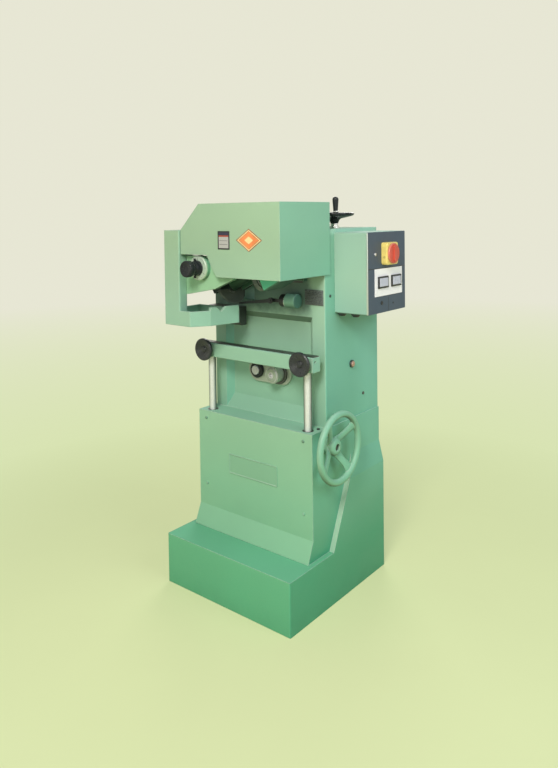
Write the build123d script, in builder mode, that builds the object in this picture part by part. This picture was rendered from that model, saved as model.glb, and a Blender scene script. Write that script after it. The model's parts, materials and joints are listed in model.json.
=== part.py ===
"""Saw blade sharpener: a floor-standing machine that grinds the teeth of a wide band-saw blade.

Millimetres. +X runs along the blade, +Y points away from the front of the machine and +Z is up.
The origin is the middle of the plinth's underside, on the floor.
"""
import os
from math import acos, cos, pi, radians, sin, tan

from build123d import *

os.makedirs("parts", exist_ok=True)

# Plinth, pedestal and column
plinth_width = 600.0
plinth_depth = 616.0
plinth_height = 188.0
pedestal_inset = 20.0
pedestal_height = 453.0
column_inset = 5.0
column_height = 722.0
column_front = -52.0
frame_wall = 12.0
column_front_wall = 36.0
flank_drop = 133.0
flank_taper = 82.0
flank_foot_y = -47.0
flank_lean = 0.463
edge_radius = 5.0
pocket_margin = 58.0
pocket_depth = 24.0
pocket_slope_height = 55.0
pocket_drop = 33.0
web_spacing = 158.0
web_rise = 39.0
web_height = 240.0

# Covers and their screws
cover_reach = 35.0
cover_sheet = 3.0
fold_rise = 74.0
skirt_reach = 31.0
front_flange = 5.0
front_flange_side = 58.0
front_flange_top = 51.0
rear_opening_width = 320.0
rear_opening_rise = 49.0
rear_opening_height = 270.0
rear_cover_lap = 25.0
screw_radius = 3.0
screw_head_radius = 6.0
screw_head_height = 3.5
screw_length = 8.0
front_screw_inset = 40.0
front_screw_rise = 88.0
front_screw_drop = 29.0

# Fits
running_gap = 0.05
seat_gap = 0.05
slide_gap = 0.2
face_gap = 0.5

# Blade support: bar, rods, rack and pinion, handwheel
blade_standoff = 60.0
blade_slot = 12.0
rest_rise = 273.0
bar_end = 41.0
bar_depth = 46.0
bar_height = 54.0
bar_shift = 2.0
strip_thickness = 3.0
strip_width = 30.0
rod_radius = 15.0
rod_inset = 43.0
rod_tail = 80.0
rod_seat_depth = 48.0
bush_wall = 6.0
bush_collar = 6.0
guide_shelf_rise = 118.0
guide_shelf = 16.0
gear_module = 2.5
pinion_teeth = 32
pinion_width = 20.0
pressure_angle = radians(20.0)
backlash = 0.3
rack_flat = 1.5
rack_teeth_below = 11
rack_teeth_above = 21
shaft_drop = 56.5
shaft_radius = 14.0
shaft_end_radius = 12.5
bearing_radius = 22.0
bearing_flange_radius = 32.0
bearing_flange = 6.0
wheel_standoff = 58.0
wheel_rim_radius = 120.0
wheel_rim_section = 12.0
hub_radius = 31.0
spoke_turn = 53.0
spoke_half_width = 16.0
spoke_half_depth = 6.5
hub_standoff = 50.0
knob_radius = 44.0
knob_rise = 31.0
knob_depth = 30.0
knob_stud_radius = 5.9

# Cycle drive behind the pocket
cluster_rise = 169.0
cluster_spacing = 120.0
cluster_radius = 46.0
cluster_plate = 12.0
drive_inset = 13.0
sleeve_radius = 32.0
sleeve_length = 44.0
nose_radius = 28.0
nose_reach = 4.0
camshaft_radius = 15.0
cam_radius = 48.0
cam_throw = 12.0
cam_width = 18.0
cam_start = 56.0
cam_spacing = 40.0
gearbox_size = 130.0
gearbox_depth = 68.0
gear_motor_radius = 55.0
gear_motor_length = 160.0
pitch_inset = 2.0
pitch_spindle_radius = 18.0
pitch_ring_radius = 31.0
pitch_ring_width = 12.0

# Arm that carries the front jaw, and the jaws
arm_overhang = 3.0
arm_width = 82.0
arm_length = 270.0
leg_depth = 38.0
beam_depth = 93.0
arm_fillet = 50.0
tooth_drop = 290.0
foot_drop = 66.0
foot_height = 56.0
foot_wall = 10.0
foot_floor = 12.0
foot_gap = 25.0
foot_front_width = 136.0
foot_middle_width = 181.0
foot_back_width = 212.0
foot_middle = 63.0
notch_wall_rise = 12.0
notch_inset = 77.0
notch_half_width = 21.0
notch_depth = 19.0
jaw_margin = 12.0
jaw_drop = 15.0
rear_jaw_inset = 16.0
rear_jaw_width = 158.0
rear_jaw_height = 73.0

# Hood
hood_setback = 8.0
hood_lap = 27.0
hood_spacing = 2.0
hood_drop = 166.0
hood_rise = 97.0
hood_overhang = 5.0
hood_sheet = 3.0
hood_chamfer = 96.0
hood_cut_gap = 2.5
hood_cut_upper = 56.0
hood_cut_middle = 83.0
hood_cut_lower = 103.0

# Dial and its bracket
bracket_depth = 20.0
bracket_inset = 6.0
bracket_drop = 148.0
bracket_middle_width = 144.0
bracket_middle_rise = 27.0
bracket_width = 235.0
bracket_end_rise = 65.0
bracket_end_height = 38.0
bracket_shoulder_width = 32.0
bracket_spacing = 2.0
dial_side = 81.0
dial_drop = 45.0
dial_boss_radius = 46.5
dial_boss = 16.0
dial_radius = 45.0
dial_thickness = 6.0
dial_neck_radius = 29.0
dial_neck = 28.0
dial_grip_radius = 32.5
dial_grip = 33.0
dial_spindle_radius = 10.0
dial_spindle_nose = 20.0
dial_spindle_tail = 24.0

# Grinding head
head_tilt_degrees = 27.0
head_travel_up = 90.0
head_travel_down = 10.0
wheel_radius = 75.0
wheel_thickness = 10.0
wheel_side = 62.0
wheel_clearance = 2.0
flange_radius = 30.0
flange_thickness = 8.0
nut_thickness = 11.0
nut_flats = 30.0
spindle_radius = 12.5
spindle_nose_radius = 10.0
spindle_nose_length = 3.0
spindle_tail_length = 6.0
guard_gap = 5.0
guard_sheet = 3.0
guard_left = 17.0
guard_right = 20.0
guard_cut = 18.0
window_margin = 18.0
window_foot = 7.0
slot_margin = 7.0
housing_radius = 26.0
housing_end = 200.0
housing_foot_inset = 15.0
housing_foot_end = 10.0
pulley_spacing = 212.0
pulley_width = 26.0
spindle_pulley_radius = 34.0
motor_pulley_radius = 30.0
motor_spacing = 88.0
motor_drop = 73.0
motor_half_width = 50.0
motor_edge = 4.0
motor_start = 258.0
motor_end_spacing = 14.0
motor_shaft_radius = 9.0
motor_shaft_depth = 18.0
belt_width = 18.0
belt_thickness = 5.0
belt_gap = 0.3
belt_relief = 4.0
guide_inset = 140.0
guide_root_width = 80.0
guide_face_width = 100.0
guide_depth = 12.0
guide_rise = 92.0
guide_length = 190.0
carriage_depth = 20.0
carriage_left_reach = 65.0
carriage_right_reach = 70.0
carriage_rise = 10.0
carriage_height = 125.0
head_plate_gap = 6.0
head_plate_below = 34.0
head_plate_above = 50.0
head_plate_lap = 20.0
cradle_inset = 27.0
cradle_end_inset = 28.0
cradle_width = 50.0
cradle_lap = 8.0
gib_width = 25.0
gib_inset = 10.0
nut_arm_rise = 37.0
nut_arm_height = 30.0
nut_arm_width = 34.0

# Crank on the column's top
crank_inset = 43.0
crank_setback = 127.0
screw_drop = 263.0
screw_shelf = 16.0
screw_seat = 5.0
lead_screw_radius = 10.0
crank_flange_radius = 20.0
crank_flange = 8.0
crank_boss_radius = 16.0
crank_hub_rise = 18.0
crank_rise = 61.0
crank_wheel_radius = 75.0
crank_rim_width = 13.0
crank_rim_height = 24.0
handle_arm = 62.0
handle_bearing = radians(-51.3)
handle_length = 57.0
handle_pin_radius = 4.0

# Blade feed
feed_standoff = 28.0
feed_rise = 25.0
feed_inset = 150.0
feed_cylinder_radius = 27.0
feed_cylinder_length = 49.0
feed_foot_inset = 8.0
feed_foot_height = 40.0
feed_plunger_radius = 24.0
feed_plunger_reach = 25.0
feed_plunger_length = 40.0
feed_stroke = 26.0
feed_arm_reach = 38.0
feed_arm_depth = 10.0
feed_arm_height = 12.0
pawl_thickness = 8.0
pawl_eye_radius = 11.0
pawl_pin_radius = 5.0
pawl_lead = 48.0
pawl_tip_height = 6.0
pad_spacing = 12.0
pad_inset = 7.0
pad_drop = 13.0
pad_height = 57.0
pad_thickness = 8.0

# Electric box, panel, switch and buttons
electric_reach = 136.0
electric_inset = 24.0
electric_depth = 274.0
electric_drop = 309.0
electric_height = 296.0
electric_sheet = 2.5
panel_thickness = 4.0
switch_side = 139.0
switch_drop = 80.0
switch_size = 82.0
switch_base_depth = 24.0
switch_knob_radius = 36.0
switch_knob_depth = 8.0
switch_grip_depth = 5.0
switch_shaft_radius = 8.0
plate_side = 148.0
plate_rise = 111.5
plate_width = 198.0
plate_height = 100.0
plate_thickness = 2.0
button_pitch = 95.0
button_side = 2.5
button_rise = 0.5
bezel_width = 70.0
bezel_height = 43.0
bezel_depth = 5.0
button_width = 58.0
button_height = 31.0
button_proud = 2.0
button_depth = 21.0
gland_radius = 17.0
gland_end_radius = 11.0
gland_rim = 3.0
gland_length = 11.0
gland_inset = 18.5
gland_pitch = 59.0
gland_setback = 20.0

# Plugs in the column's side and bolts in the pedestal's top
plug_height = 2.5
large_plug_radius = 9.0
large_plug_setback = 171.0
large_plug_rise = 202.0
low_plug_radius = 6.0
low_plug_setback = 250.0
low_plug_rise = 77.0
high_plug_radius = 5.0
high_plug_rise = 46.0
bolt_radius = 6.0
bolt_head = 4.0
bolt_inset = 21.0
bolt_setback = 32.0

# Places worked out from the sizes above: widths
plinth_x = plinth_width / 2
pedestal_x = plinth_x - pedestal_inset
column_x = pedestal_x - column_inset
pocket_x = column_x - pocket_margin
front_opening_x = pedestal_x - front_flange_side
front_screw_x = pedestal_x - front_screw_inset
rod_x = pedestal_x - rod_inset
bar_x = rod_x + bar_end
bearing_face = pedestal_x + bearing_flange
wheel_plane_x = pedestal_x + wheel_standoff
hub_end_x = pedestal_x + hub_standoff
drive_x = cluster_spacing / 2 - drive_inset
pitch_x = pitch_inset - cluster_spacing / 2
arm_left = -column_x - arm_overhang
arm_right = arm_left + arm_width
rear_jaw_left = arm_left + rear_jaw_inset
rear_jaw_right = rear_jaw_left + rear_jaw_width
hood_left = arm_right + hood_spacing
hood_right = column_x + hood_overhang
dial_x = arm_right + dial_side
wheel_centre_x = arm_right + wheel_side
guide_x = column_x - guide_inset
carriage_left = guide_x - carriage_left_reach
carriage_right = guide_x + carriage_right_reach
crank_x = column_x - crank_inset
feed_cylinder_left = column_x - feed_inset
feed_cylinder_right = feed_cylinder_left + feed_cylinder_length
feed_plunger_left = feed_cylinder_left - feed_plunger_reach
plunger_right = feed_plunger_left + feed_plunger_length
feed_arm_left = feed_plunger_left - feed_arm_reach
pawl_tip_x = wheel_centre_x + pawl_lead
electric_face = column_x + electric_reach
panel_face = electric_face + panel_thickness
plate_face = panel_face + plate_thickness

# Depths
plinth_y = plinth_depth / 2
cavity_front = column_front + column_front_wall
pocket_floor = column_front + pocket_depth
blade_plane = column_front - blade_standoff
cover_front = blade_plane - cover_reach
cover_back = cover_front + cover_sheet
web_y = plinth_y - web_spacing
bar_front = blade_plane - bar_depth / 2 - bar_shift
pitch_radius = gear_module * pinion_teeth / 2
rack_pitch = pi * gear_module
rack_tip_y = blade_plane + rod_radius - rack_flat
rack_pitch_y = rack_tip_y - gear_module
rack_root_y = rack_pitch_y - 1.25 * gear_module
shaft_y = rack_pitch_y + pitch_radius
bush_radius = rod_radius + bush_wall
plate_front = pocket_floor - cluster_plate
sleeve_front = plate_front - sleeve_length
cam_places_y = (cavity_front + cam_start, cavity_front + cam_start + cam_spacing)
arm_front = column_front - arm_length
leg_back = arm_front + leg_depth
foot_back = blade_plane - foot_gap
notch_y = foot_back - notch_inset
front_jaw_face = blade_plane - blade_slot / 2
rear_jaw_face = blade_plane + blade_slot / 2
hood_front = arm_front + hood_setback
hood_back = column_front + hood_lap
bracket_back = leg_back + bracket_depth
dial_back = leg_back - dial_boss
guide_face = column_front - guide_depth
carriage_back = guide_face - slide_gap
carriage_face = carriage_back - carriage_depth
crank_y = column_front + crank_setback
feed_y = column_front - feed_standoff
electric_back = plinth_y - electric_inset
electric_front = electric_back - electric_depth
switch_y = electric_front + switch_side
plate_y = electric_front + plate_side
button_places = (plate_y + button_side - button_pitch / 2, plate_y + button_side + button_pitch / 2)
gland_places = (
    (column_x + gland_inset, electric_front + gland_setback),
    (column_x + gland_inset + gland_pitch, electric_front + gland_setback),
)

# Heights
pedestal_top = plinth_height + pedestal_height
column_top = pedestal_top + column_height
tooth_line = column_top - tooth_drop
rest_height = pedestal_top + rest_rise
flank_top = pedestal_top - flank_drop
flank_straight_top = flank_top - flank_taper
flank_top_y = flank_foot_y + flank_lean * (flank_top - plinth_height)
pocket_top = tooth_line - pocket_drop
web_bottom = pedestal_top + web_rise
web_top = web_bottom + web_height
fold_height = plinth_height + fold_rise
front_opening_top = pedestal_top - front_flange_top
rear_opening_bottom = pedestal_top + rear_opening_rise
rear_opening_top = rear_opening_bottom + rear_opening_height
front_screw_low_z = fold_height + front_screw_rise
front_screw_high_z = pedestal_top - front_screw_drop
bar_top = rest_height - strip_thickness
bar_bottom = bar_top - bar_height
knob_z = bar_bottom + knob_rise
guide_shelf_z = fold_height + guide_shelf_rise
rod_bottom = guide_shelf_z - rod_tail
bush_seats = ((pedestal_top - frame_wall, pedestal_top), (guide_shelf_z, guide_shelf_z + guide_shelf))
shaft_z = pedestal_top - shaft_drop
cluster_z = pedestal_top + cluster_rise
beam_bottom = column_top - beam_depth
foot_bottom = tooth_line - foot_drop
foot_top = foot_bottom + foot_height
notch_wall_top = foot_top + notch_wall_rise
jaw_top = tooth_line - jaw_drop
rear_jaw_bottom = jaw_top - rear_jaw_height
hood_bottom = column_top - hood_drop
hood_top = column_top + hood_rise
bracket_low = beam_bottom - bracket_drop
bracket_top = beam_bottom - bracket_spacing
bracket_step = beam_bottom - arm_fillet - bracket_spacing
dial_z = beam_bottom - dial_drop
hood_cut_top = dial_z + dial_boss_radius + hood_cut_gap
head_tilt = radians(head_tilt_degrees)
wheel_centre_z = tooth_line + wheel_clearance + wheel_radius * cos(head_tilt)
guide_bottom = tooth_line + guide_rise
guide_top = guide_bottom + guide_length
carriage_bottom = guide_bottom + carriage_rise
carriage_top = carriage_bottom + carriage_height
nut_arm_bottom = carriage_bottom + nut_arm_rise
nut_arm_top = nut_arm_bottom + nut_arm_height
screw_bottom = column_top - screw_drop
crank_hub_top = column_top + crank_rise
feed_z = tooth_line + feed_rise
pad_bottom = feed_z - pad_drop
electric_bottom = column_top - electric_drop
electric_top = electric_bottom + electric_height
switch_z = electric_top - switch_drop
plate_z = electric_bottom + plate_rise
button_z = plate_z + button_rise

# Where the crank's handle stands, and how far the tilted guard, plate and motor reach
handle_x = crank_x + handle_arm * cos(handle_bearing)
handle_y = crank_y + handle_arm * sin(handle_bearing)
guard_inner = wheel_radius + guard_gap
guard_outer = guard_inner + guard_sheet
head_plate_end = (carriage_left - wheel_centre_x) / cos(head_tilt) + head_plate_lap
motor_lean = (motor_drop + motor_half_width) * sin(head_tilt)
motor_end_x = hood_right - hood_sheet - motor_end_spacing - motor_lean
motor_length = (motor_end_x - wheel_centre_x) / cos(head_tilt) - motor_start
cradle_length = motor_length - cradle_inset - cradle_end_inset

# The head's own frame: its normal is the grinding spindle, its x is +Y and its y leans up and to the left
head_plane = Plane(
    origin=(wheel_centre_x, blade_plane, wheel_centre_z),
    x_dir=(0, 1, 0),
    z_dir=(cos(head_tilt), 0, sin(head_tilt)),
)
shaft_axis = Axis((0, shaft_y, shaft_z), (1, 0, 0))


def front_plane(y):
    """Plane that faces the front of the machine at depth y: its x is +X and its y is +Z."""
    return Plane.XZ.offset(-y)


def block(x, y, z, mode=Mode.ADD):
    """Box between two limits along each axis."""
    with Locations(((x[0] + x[1]) / 2, (y[0] + y[1]) / 2, (z[0] + z[1]) / 2)):
        Box(x[1] - x[0], y[1] - y[0], z[1] - z[0], mode=mode)


def rod_along_y(x, z, front, back, radius, mode=Mode.ADD):
    """Cylinder along Y between two depths."""
    with Locations(Location((x, (front + back) / 2, z), (90, 0, 0))):
        Cylinder(radius, back - front, mode=mode)


def rod_along_x(y, z, left, right, radius, mode=Mode.ADD):
    """Cylinder along X between two limits."""
    with Locations(Location(((left + right) / 2, y, z), (0, 90, 0))):
        Cylinder(radius, right - left, mode=mode)


def rod_along_z(x, y, low, high, radius, mode=Mode.ADD):
    """Cylinder along Z between two heights."""
    with Locations((x, y, (low + high) / 2)):
        Cylinder(radius, high - low, mode=mode)


front_screw_places = [
    (x, z) for x in (-front_screw_x, front_screw_x) for z in (front_screw_low_z, front_screw_high_z)
]
rear_screw_x = rear_opening_width / 2 + rear_cover_lap / 2
rear_screw_rows = (
    rear_opening_bottom - rear_cover_lap / 2,
    (rear_opening_bottom + rear_opening_top) / 2,
    rear_opening_top + rear_cover_lap / 2,
)
rear_screw_places = [(x, z) for x in (-rear_screw_x, rear_screw_x) for z in rear_screw_rows]

# Window in the column for the grinding wheel, and slot for the carriage's nut arm
guard_lean = guard_outer * sin(head_tilt)
window_x = (
    wheel_centre_x - guard_lean - guard_left * cos(head_tilt) - window_margin,
    wheel_centre_x + guard_lean + guard_right * cos(head_tilt) + window_margin,
)
window_z = (
    tooth_line + wheel_clearance + window_foot,
    wheel_centre_z + guard_outer * cos(head_tilt) + head_travel_up + window_foot,
)
slot_x = (crank_x - nut_arm_width / 2 - slot_margin, crank_x + nut_arm_width / 2 + slot_margin)
slot_z = (nut_arm_bottom - head_travel_down - slot_margin, nut_arm_top + head_travel_up + slot_margin)
shelf_z = (screw_bottom + screw_seat - screw_shelf, screw_bottom + screw_seat)

# Machine frame: plinth, pedestal and column in one hollow casting
with BuildPart() as machine_frame:
    block((-plinth_x, plinth_x), (-plinth_y, plinth_y), (0, plinth_height))
    fillet(machine_frame.edges().filter_by(Axis.Z).group_by(Axis.Y)[0], radius=edge_radius)
    with BuildSketch(Plane.YZ.offset(-pedestal_x)):
        Polygon(
            (cover_back, pedestal_top),
            (cover_back, fold_height),
            (cover_back - skirt_reach, plinth_height),
            (plinth_y, plinth_height),
            (plinth_y, pedestal_top),
            align=None,
        )
    extrude(amount=2 * pedestal_x)
    block((-column_x, column_x), (column_front, plinth_y), (pedestal_top, column_top))
    column_corners = machine_frame.edges().filter_by(Axis.Z).filter_by_position(
        Axis.Y, column_front - 0.1, column_front + 0.1
    )
    fillet(column_corners, radius=edge_radius)
    # Flanks that widen the pedestal's foot, with a leaning front edge and a tapered top
    with BuildSketch(Plane.YZ.offset(-plinth_x)):
        Polygon(
            (flank_foot_y, plinth_height),
            (plinth_y, plinth_height),
            (plinth_y, flank_top),
            (flank_top_y, flank_top),
            align=None,
        )
    extrude(amount=plinth_width)
    for side in (-1, 1):
        with BuildSketch(front_plane(plinth_y)):
            Polygon(
                (side * plinth_x, flank_straight_top),
                (side * plinth_x, flank_top),
                (side * pedestal_x, flank_top),
                align=None,
            )
        extrude(amount=plinth_depth, mode=Mode.SUBTRACT)
    # Hollow inside
    block(
        (frame_wall - plinth_x, plinth_x - frame_wall),
        (frame_wall - plinth_y, plinth_y - frame_wall),
        (frame_wall, plinth_height - frame_wall),
        mode=Mode.SUBTRACT,
    )
    block(
        (frame_wall - pedestal_x, pedestal_x - frame_wall),
        (cover_back + front_flange, plinth_y - frame_wall),
        (plinth_height - frame_wall, pedestal_top - frame_wall),
        mode=Mode.SUBTRACT,
    )
    block(
        (frame_wall - column_x, column_x - frame_wall),
        (cavity_front, plinth_y - frame_wall),
        (pedestal_top - frame_wall, column_top - frame_wall),
        mode=Mode.SUBTRACT,
    )
    # Openings behind the two covers
    block(
        (-front_opening_x, front_opening_x),
        (cover_back, cover_back + front_flange),
        (fold_height, front_opening_top),
        mode=Mode.SUBTRACT,
    )
    block(
        (-rear_opening_width / 2, rear_opening_width / 2),
        (plinth_y - frame_wall, plinth_y),
        (rear_opening_bottom, rear_opening_top),
        mode=Mode.SUBTRACT,
    )
    # Bevelled pocket in the column's front
    with BuildSketch(front_plane(column_front)):
        with Locations((0, (pedestal_top + pocket_top) / 2)):
            Rectangle(2 * pocket_x, pocket_top - pedestal_top)
    floor_low = pedestal_top + pocket_slope_height
    floor_high = pocket_top - pocket_depth
    with BuildSketch(front_plane(pocket_floor)):
        with Locations((0, (floor_low + floor_high) / 2)):
            Rectangle(2 * (pocket_x - pocket_depth), floor_high - floor_low)
    loft(ruled=True, mode=Mode.SUBTRACT)
    # Openings behind the hood
    block(window_x, (column_front, cavity_front), window_z, mode=Mode.SUBTRACT)
    block(slot_x, (column_front, cavity_front), slot_z, mode=Mode.SUBTRACT)
    # Cross web for the gearbox, and shelf for the foot of the lead screw
    block(
        (frame_wall - column_x, column_x - frame_wall),
        (web_y, web_y + frame_wall),
        (web_bottom, web_top),
    )
    block(
        (crank_x - nut_arm_width / 2, column_x - frame_wall),
        (crank_y - nut_arm_width / 2, crank_y + nut_arm_width / 2),
        shelf_z,
    )
    for side in (-1, 1):
        shelf_x = sorted((side * (rod_x - bush_radius - bush_wall), side * (pedestal_x - frame_wall)))
        block(
            shelf_x,
            (cover_back + front_flange, blade_plane + bush_radius + bush_wall),
            (guide_shelf_z, guide_shelf_z + guide_shelf),
        )
    # Bores
    for side in (-1, 1):
        for low, high in bush_seats:
            rod_along_z(side * rod_x, blade_plane, low, high, bush_radius + seat_gap, mode=Mode.SUBTRACT)
    for wall in ((-pedestal_x, frame_wall - pedestal_x), (pedestal_x - frame_wall, pedestal_x)):
        rod_along_x(shaft_y, shaft_z, *wall, bearing_radius + seat_gap, mode=Mode.SUBTRACT)
    rod_along_y(drive_x, cluster_z, pocket_floor, cavity_front, camshaft_radius + 3.0, mode=Mode.SUBTRACT)
    rod_along_y(
        drive_x, cluster_z, web_y, web_y + frame_wall, camshaft_radius + running_gap, mode=Mode.SUBTRACT
    )
    rod_along_y(pitch_x, cluster_z, pocket_floor, cavity_front, pitch_spindle_radius, mode=Mode.SUBTRACT)
    rod_along_z(
        crank_x, crank_y, column_top - frame_wall, column_top, lead_screw_radius + 4.0, mode=Mode.SUBTRACT
    )
    rod_along_z(
        crank_x, crank_y, screw_bottom, shelf_z[1], lead_screw_radius + running_gap, mode=Mode.SUBTRACT
    )
    for x, z in front_screw_places:
        rod_along_y(x, z, cover_back, cover_back + front_flange, screw_radius + seat_gap, mode=Mode.SUBTRACT)
    for x, z in rear_screw_places:
        rod_along_y(x, z, plinth_y - frame_wall, plinth_y, screw_radius + seat_gap, mode=Mode.SUBTRACT)
machine_frame.part.label = "machine_frame"
export_step(machine_frame.part, "parts/machine_frame.step")

# Front cover: one folded sheet with a flared skirt
with BuildPart() as front_cover:
    with BuildSketch(Plane.YZ.offset(-pedestal_x)):
        Polygon(
            (cover_front, pedestal_top),
            (cover_front, fold_height),
            (cover_front - skirt_reach, plinth_height),
            (cover_back - skirt_reach, plinth_height),
            (cover_back, fold_height),
            (cover_back, pedestal_top),
            align=None,
        )
    extrude(amount=2 * pedestal_x)
    for x, z in front_screw_places:
        rod_along_y(x, z, cover_front, cover_back, screw_radius + seat_gap, mode=Mode.SUBTRACT)
front_cover.part.label = "front_cover"
export_step(front_cover.part, "parts/front_cover.step")

# Rear cover over the drive's access opening
with BuildPart() as rear_cover:
    with BuildSketch(front_plane(plinth_y + cover_sheet)):
        with Locations((0, (rear_opening_bottom + rear_opening_top) / 2)):
            RectangleRounded(
                rear_opening_width + 2 * rear_cover_lap,
                rear_opening_top - rear_opening_bottom + 2 * rear_cover_lap,
                rear_cover_lap / 2,
            )
    extrude(amount=cover_sheet)
    for x, z in rear_screw_places:
        rod_along_y(x, z, plinth_y, plinth_y + cover_sheet, screw_radius + seat_gap, mode=Mode.SUBTRACT)
rear_cover.part.label = "rear_cover"
export_step(rear_cover.part, "parts/rear_cover.step")

# Pan-head screws of both covers
with BuildPart() as cover_screws:
    for x, z in front_screw_places:
        rod_along_y(x, z, cover_front - screw_head_height, cover_front, screw_head_radius)
        rod_along_y(x, z, cover_front, cover_front + screw_length, screw_radius)
    for x, z in rear_screw_places:
        cover_face = plinth_y + cover_sheet
        rod_along_y(x, z, cover_face, cover_face + screw_head_height, screw_head_radius)
        rod_along_y(x, z, cover_face - screw_length, cover_face, screw_radius)
    chamfer(
        cover_screws.faces().filter_by(Axis.Y).filter_by(lambda f: f.area > 100).edges().filter_by(
            lambda e: abs(e.center().Y - cover_front + screw_head_height) < 0.01
            or abs(e.center().Y - cover_face - screw_head_height) < 0.01
        ),
        length=1.2,
    )
cover_screws.part.label = "cover_screws"
export_step(cover_screws.part, "parts/cover_screws.step")

# Bronze bushes that guide the rods through the pedestal's top and through a shelf lower down
with BuildPart() as rod_bushes:
    for side in (-1, 1):
        for low, high in bush_seats:
            rod_along_z(side * rod_x, blade_plane, low, high, bush_radius)
            rod_along_z(side * rod_x, blade_plane, low - bush_collar, low, bush_radius + bush_wall)
            rod_along_z(
                side * rod_x, blade_plane, low - bush_collar, high, rod_radius + running_gap, mode=Mode.SUBTRACT
            )
rod_bushes.part.label = "rod_bushes"
export_step(rod_bushes.part, "parts/rod_bushes.step")

# Flanged bearings of the cross shaft, the left one closed
with BuildPart() as shaft_bearings:
    rod_along_x(shaft_y, shaft_z, pedestal_x - frame_wall, pedestal_x, bearing_radius)
    rod_along_x(shaft_y, shaft_z, pedestal_x, bearing_face, bearing_flange_radius)
    rod_along_x(shaft_y, shaft_z, -pedestal_x, frame_wall - pedestal_x, bearing_radius)
    rod_along_x(shaft_y, shaft_z, -bearing_face, -pedestal_x, bearing_flange_radius)
    rod_along_x(
        shaft_y, shaft_z, -pedestal_x, bearing_face, shaft_radius + running_gap, mode=Mode.SUBTRACT
    )
    flange_rims = shaft_bearings.edges().filter_by(GeomType.CIRCLE).filter_by(
        lambda e: abs(e.radius - bearing_flange_radius) < 0.01 and abs(abs(e.center().X) - bearing_face) < 0.01
    )
    chamfer(flange_rims, length=2)
shaft_bearings.part.label = "shaft_bearings"
export_step(shaft_bearings.part, "parts/shaft_bearings.step")

# Guide rods with a rack cut along the back
half_tooth = rack_pitch / 4 - backlash / 2
tip_half = half_tooth - gear_module * tan(pressure_angle)
root_half = half_tooth + 1.25 * gear_module * tan(pressure_angle)
rack_clear_y = blade_plane + rod_radius + 1.0
rack_low_z = shaft_z - (rack_teeth_below + 0.5) * rack_pitch
rack_high_z = shaft_z + (rack_teeth_above + 0.5) * rack_pitch
rack_outline = [(rack_clear_y, rack_low_z), (rack_root_y, rack_low_z)]
for tooth in range(-rack_teeth_below, rack_teeth_above + 1):
    tooth_z = shaft_z + tooth * rack_pitch
    rack_outline += [
        (rack_root_y, tooth_z - root_half),
        (rack_tip_y, tooth_z - tip_half),
        (rack_tip_y, tooth_z + tip_half),
        (rack_root_y, tooth_z + root_half),
    ]
rack_outline += [(rack_root_y, rack_high_z), (rack_clear_y, rack_high_z)]
for name, x in (("left", -rod_x), ("right", rod_x)):
    with BuildPart() as guide_rod:
        rod_along_z(x, blade_plane, rod_bottom, bar_bottom + rod_seat_depth, rod_radius)
        with BuildSketch(Plane.YZ.offset(x - rod_radius)):
            Polygon(*rack_outline, align=None)
        extrude(amount=2 * rod_radius, mode=Mode.SUBTRACT)
        chamfer(guide_rod.faces().sort_by(Axis.Z)[0].edges(), length=2)
    guide_rod.part.label = f"{name}_guide_rod"
    export_step(guide_rod.part, f"parts/{name}_guide_rod.step")

# Bar that carries the blade on top and is clamped to the rods
with BuildPart() as support_bar:
    block((-bar_x, bar_x), (bar_front, bar_front + bar_depth), (bar_bottom, bar_top))
    fillet(support_bar.edges().filter_by(Axis.X), radius=3)
    for side in (-1, 1):
        rod_along_z(
            side * rod_x,
            blade_plane,
            bar_bottom,
            bar_bottom + rod_seat_depth,
            rod_radius + seat_gap,
            mode=Mode.SUBTRACT,
        )
        rod_along_y(
            side * rod_x, knob_z, bar_front, blade_plane, knob_stud_radius + running_gap, mode=Mode.SUBTRACT
        )
    rod_along_x(
        blade_plane - 9.0, bar_top - 16.0, bar_x - 20.0, bar_x, 4.0, mode=Mode.SUBTRACT
    )
support_bar.part.label = "support_bar"
export_step(support_bar.part, "parts/support_bar.step")

# Hard strip under the blade's back edge
with BuildPart() as rest_strip:
    block(
        (-bar_x, bar_x),
        (blade_plane - strip_width / 2, blade_plane + strip_width / 2),
        (bar_top, rest_height),
    )
    chamfer(rest_strip.faces().sort_by(Axis.Z)[-1].edges().filter_by(Axis.X), length=1)
rest_strip.part.label = "rest_strip"
export_step(rest_strip.part, "parts/rest_strip.step")

# Clamp knobs with a dished face and a stud that presses on the rod
knob_outline = (
    (0, 0),
    (15, 0),
    (17, 7),
    (knob_radius - 4, knob_depth - 14),
    (knob_radius, knob_depth - 11),
    (knob_radius, knob_depth - 3),
    (knob_radius - 3, knob_depth),
    (knob_radius - 8, knob_depth - 0.5),
    (13, knob_depth - 7),
    (10, knob_depth - 3),
    (0, knob_depth - 2),
)
for name, x in (("left", -rod_x), ("right", rod_x)):
    with BuildPart() as clamp_knob:
        knob_plane = Plane(origin=(x, bar_front, knob_z), x_dir=(1, 0, 0), z_dir=(0, 0, 1))
        with BuildSketch(knob_plane):
            Polygon(*[(r, -out) for r, out in knob_outline], align=None)
        revolve(axis=Axis((x, bar_front, knob_z), (0, 1, 0)))
        rod_along_y(x, knob_z, bar_front, blade_plane - rod_radius - face_gap, knob_stud_radius)
    clamp_knob.part.label = f"{name}_clamp_knob"
    export_step(clamp_knob.part, f"parts/{name}_clamp_knob.step")

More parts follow.
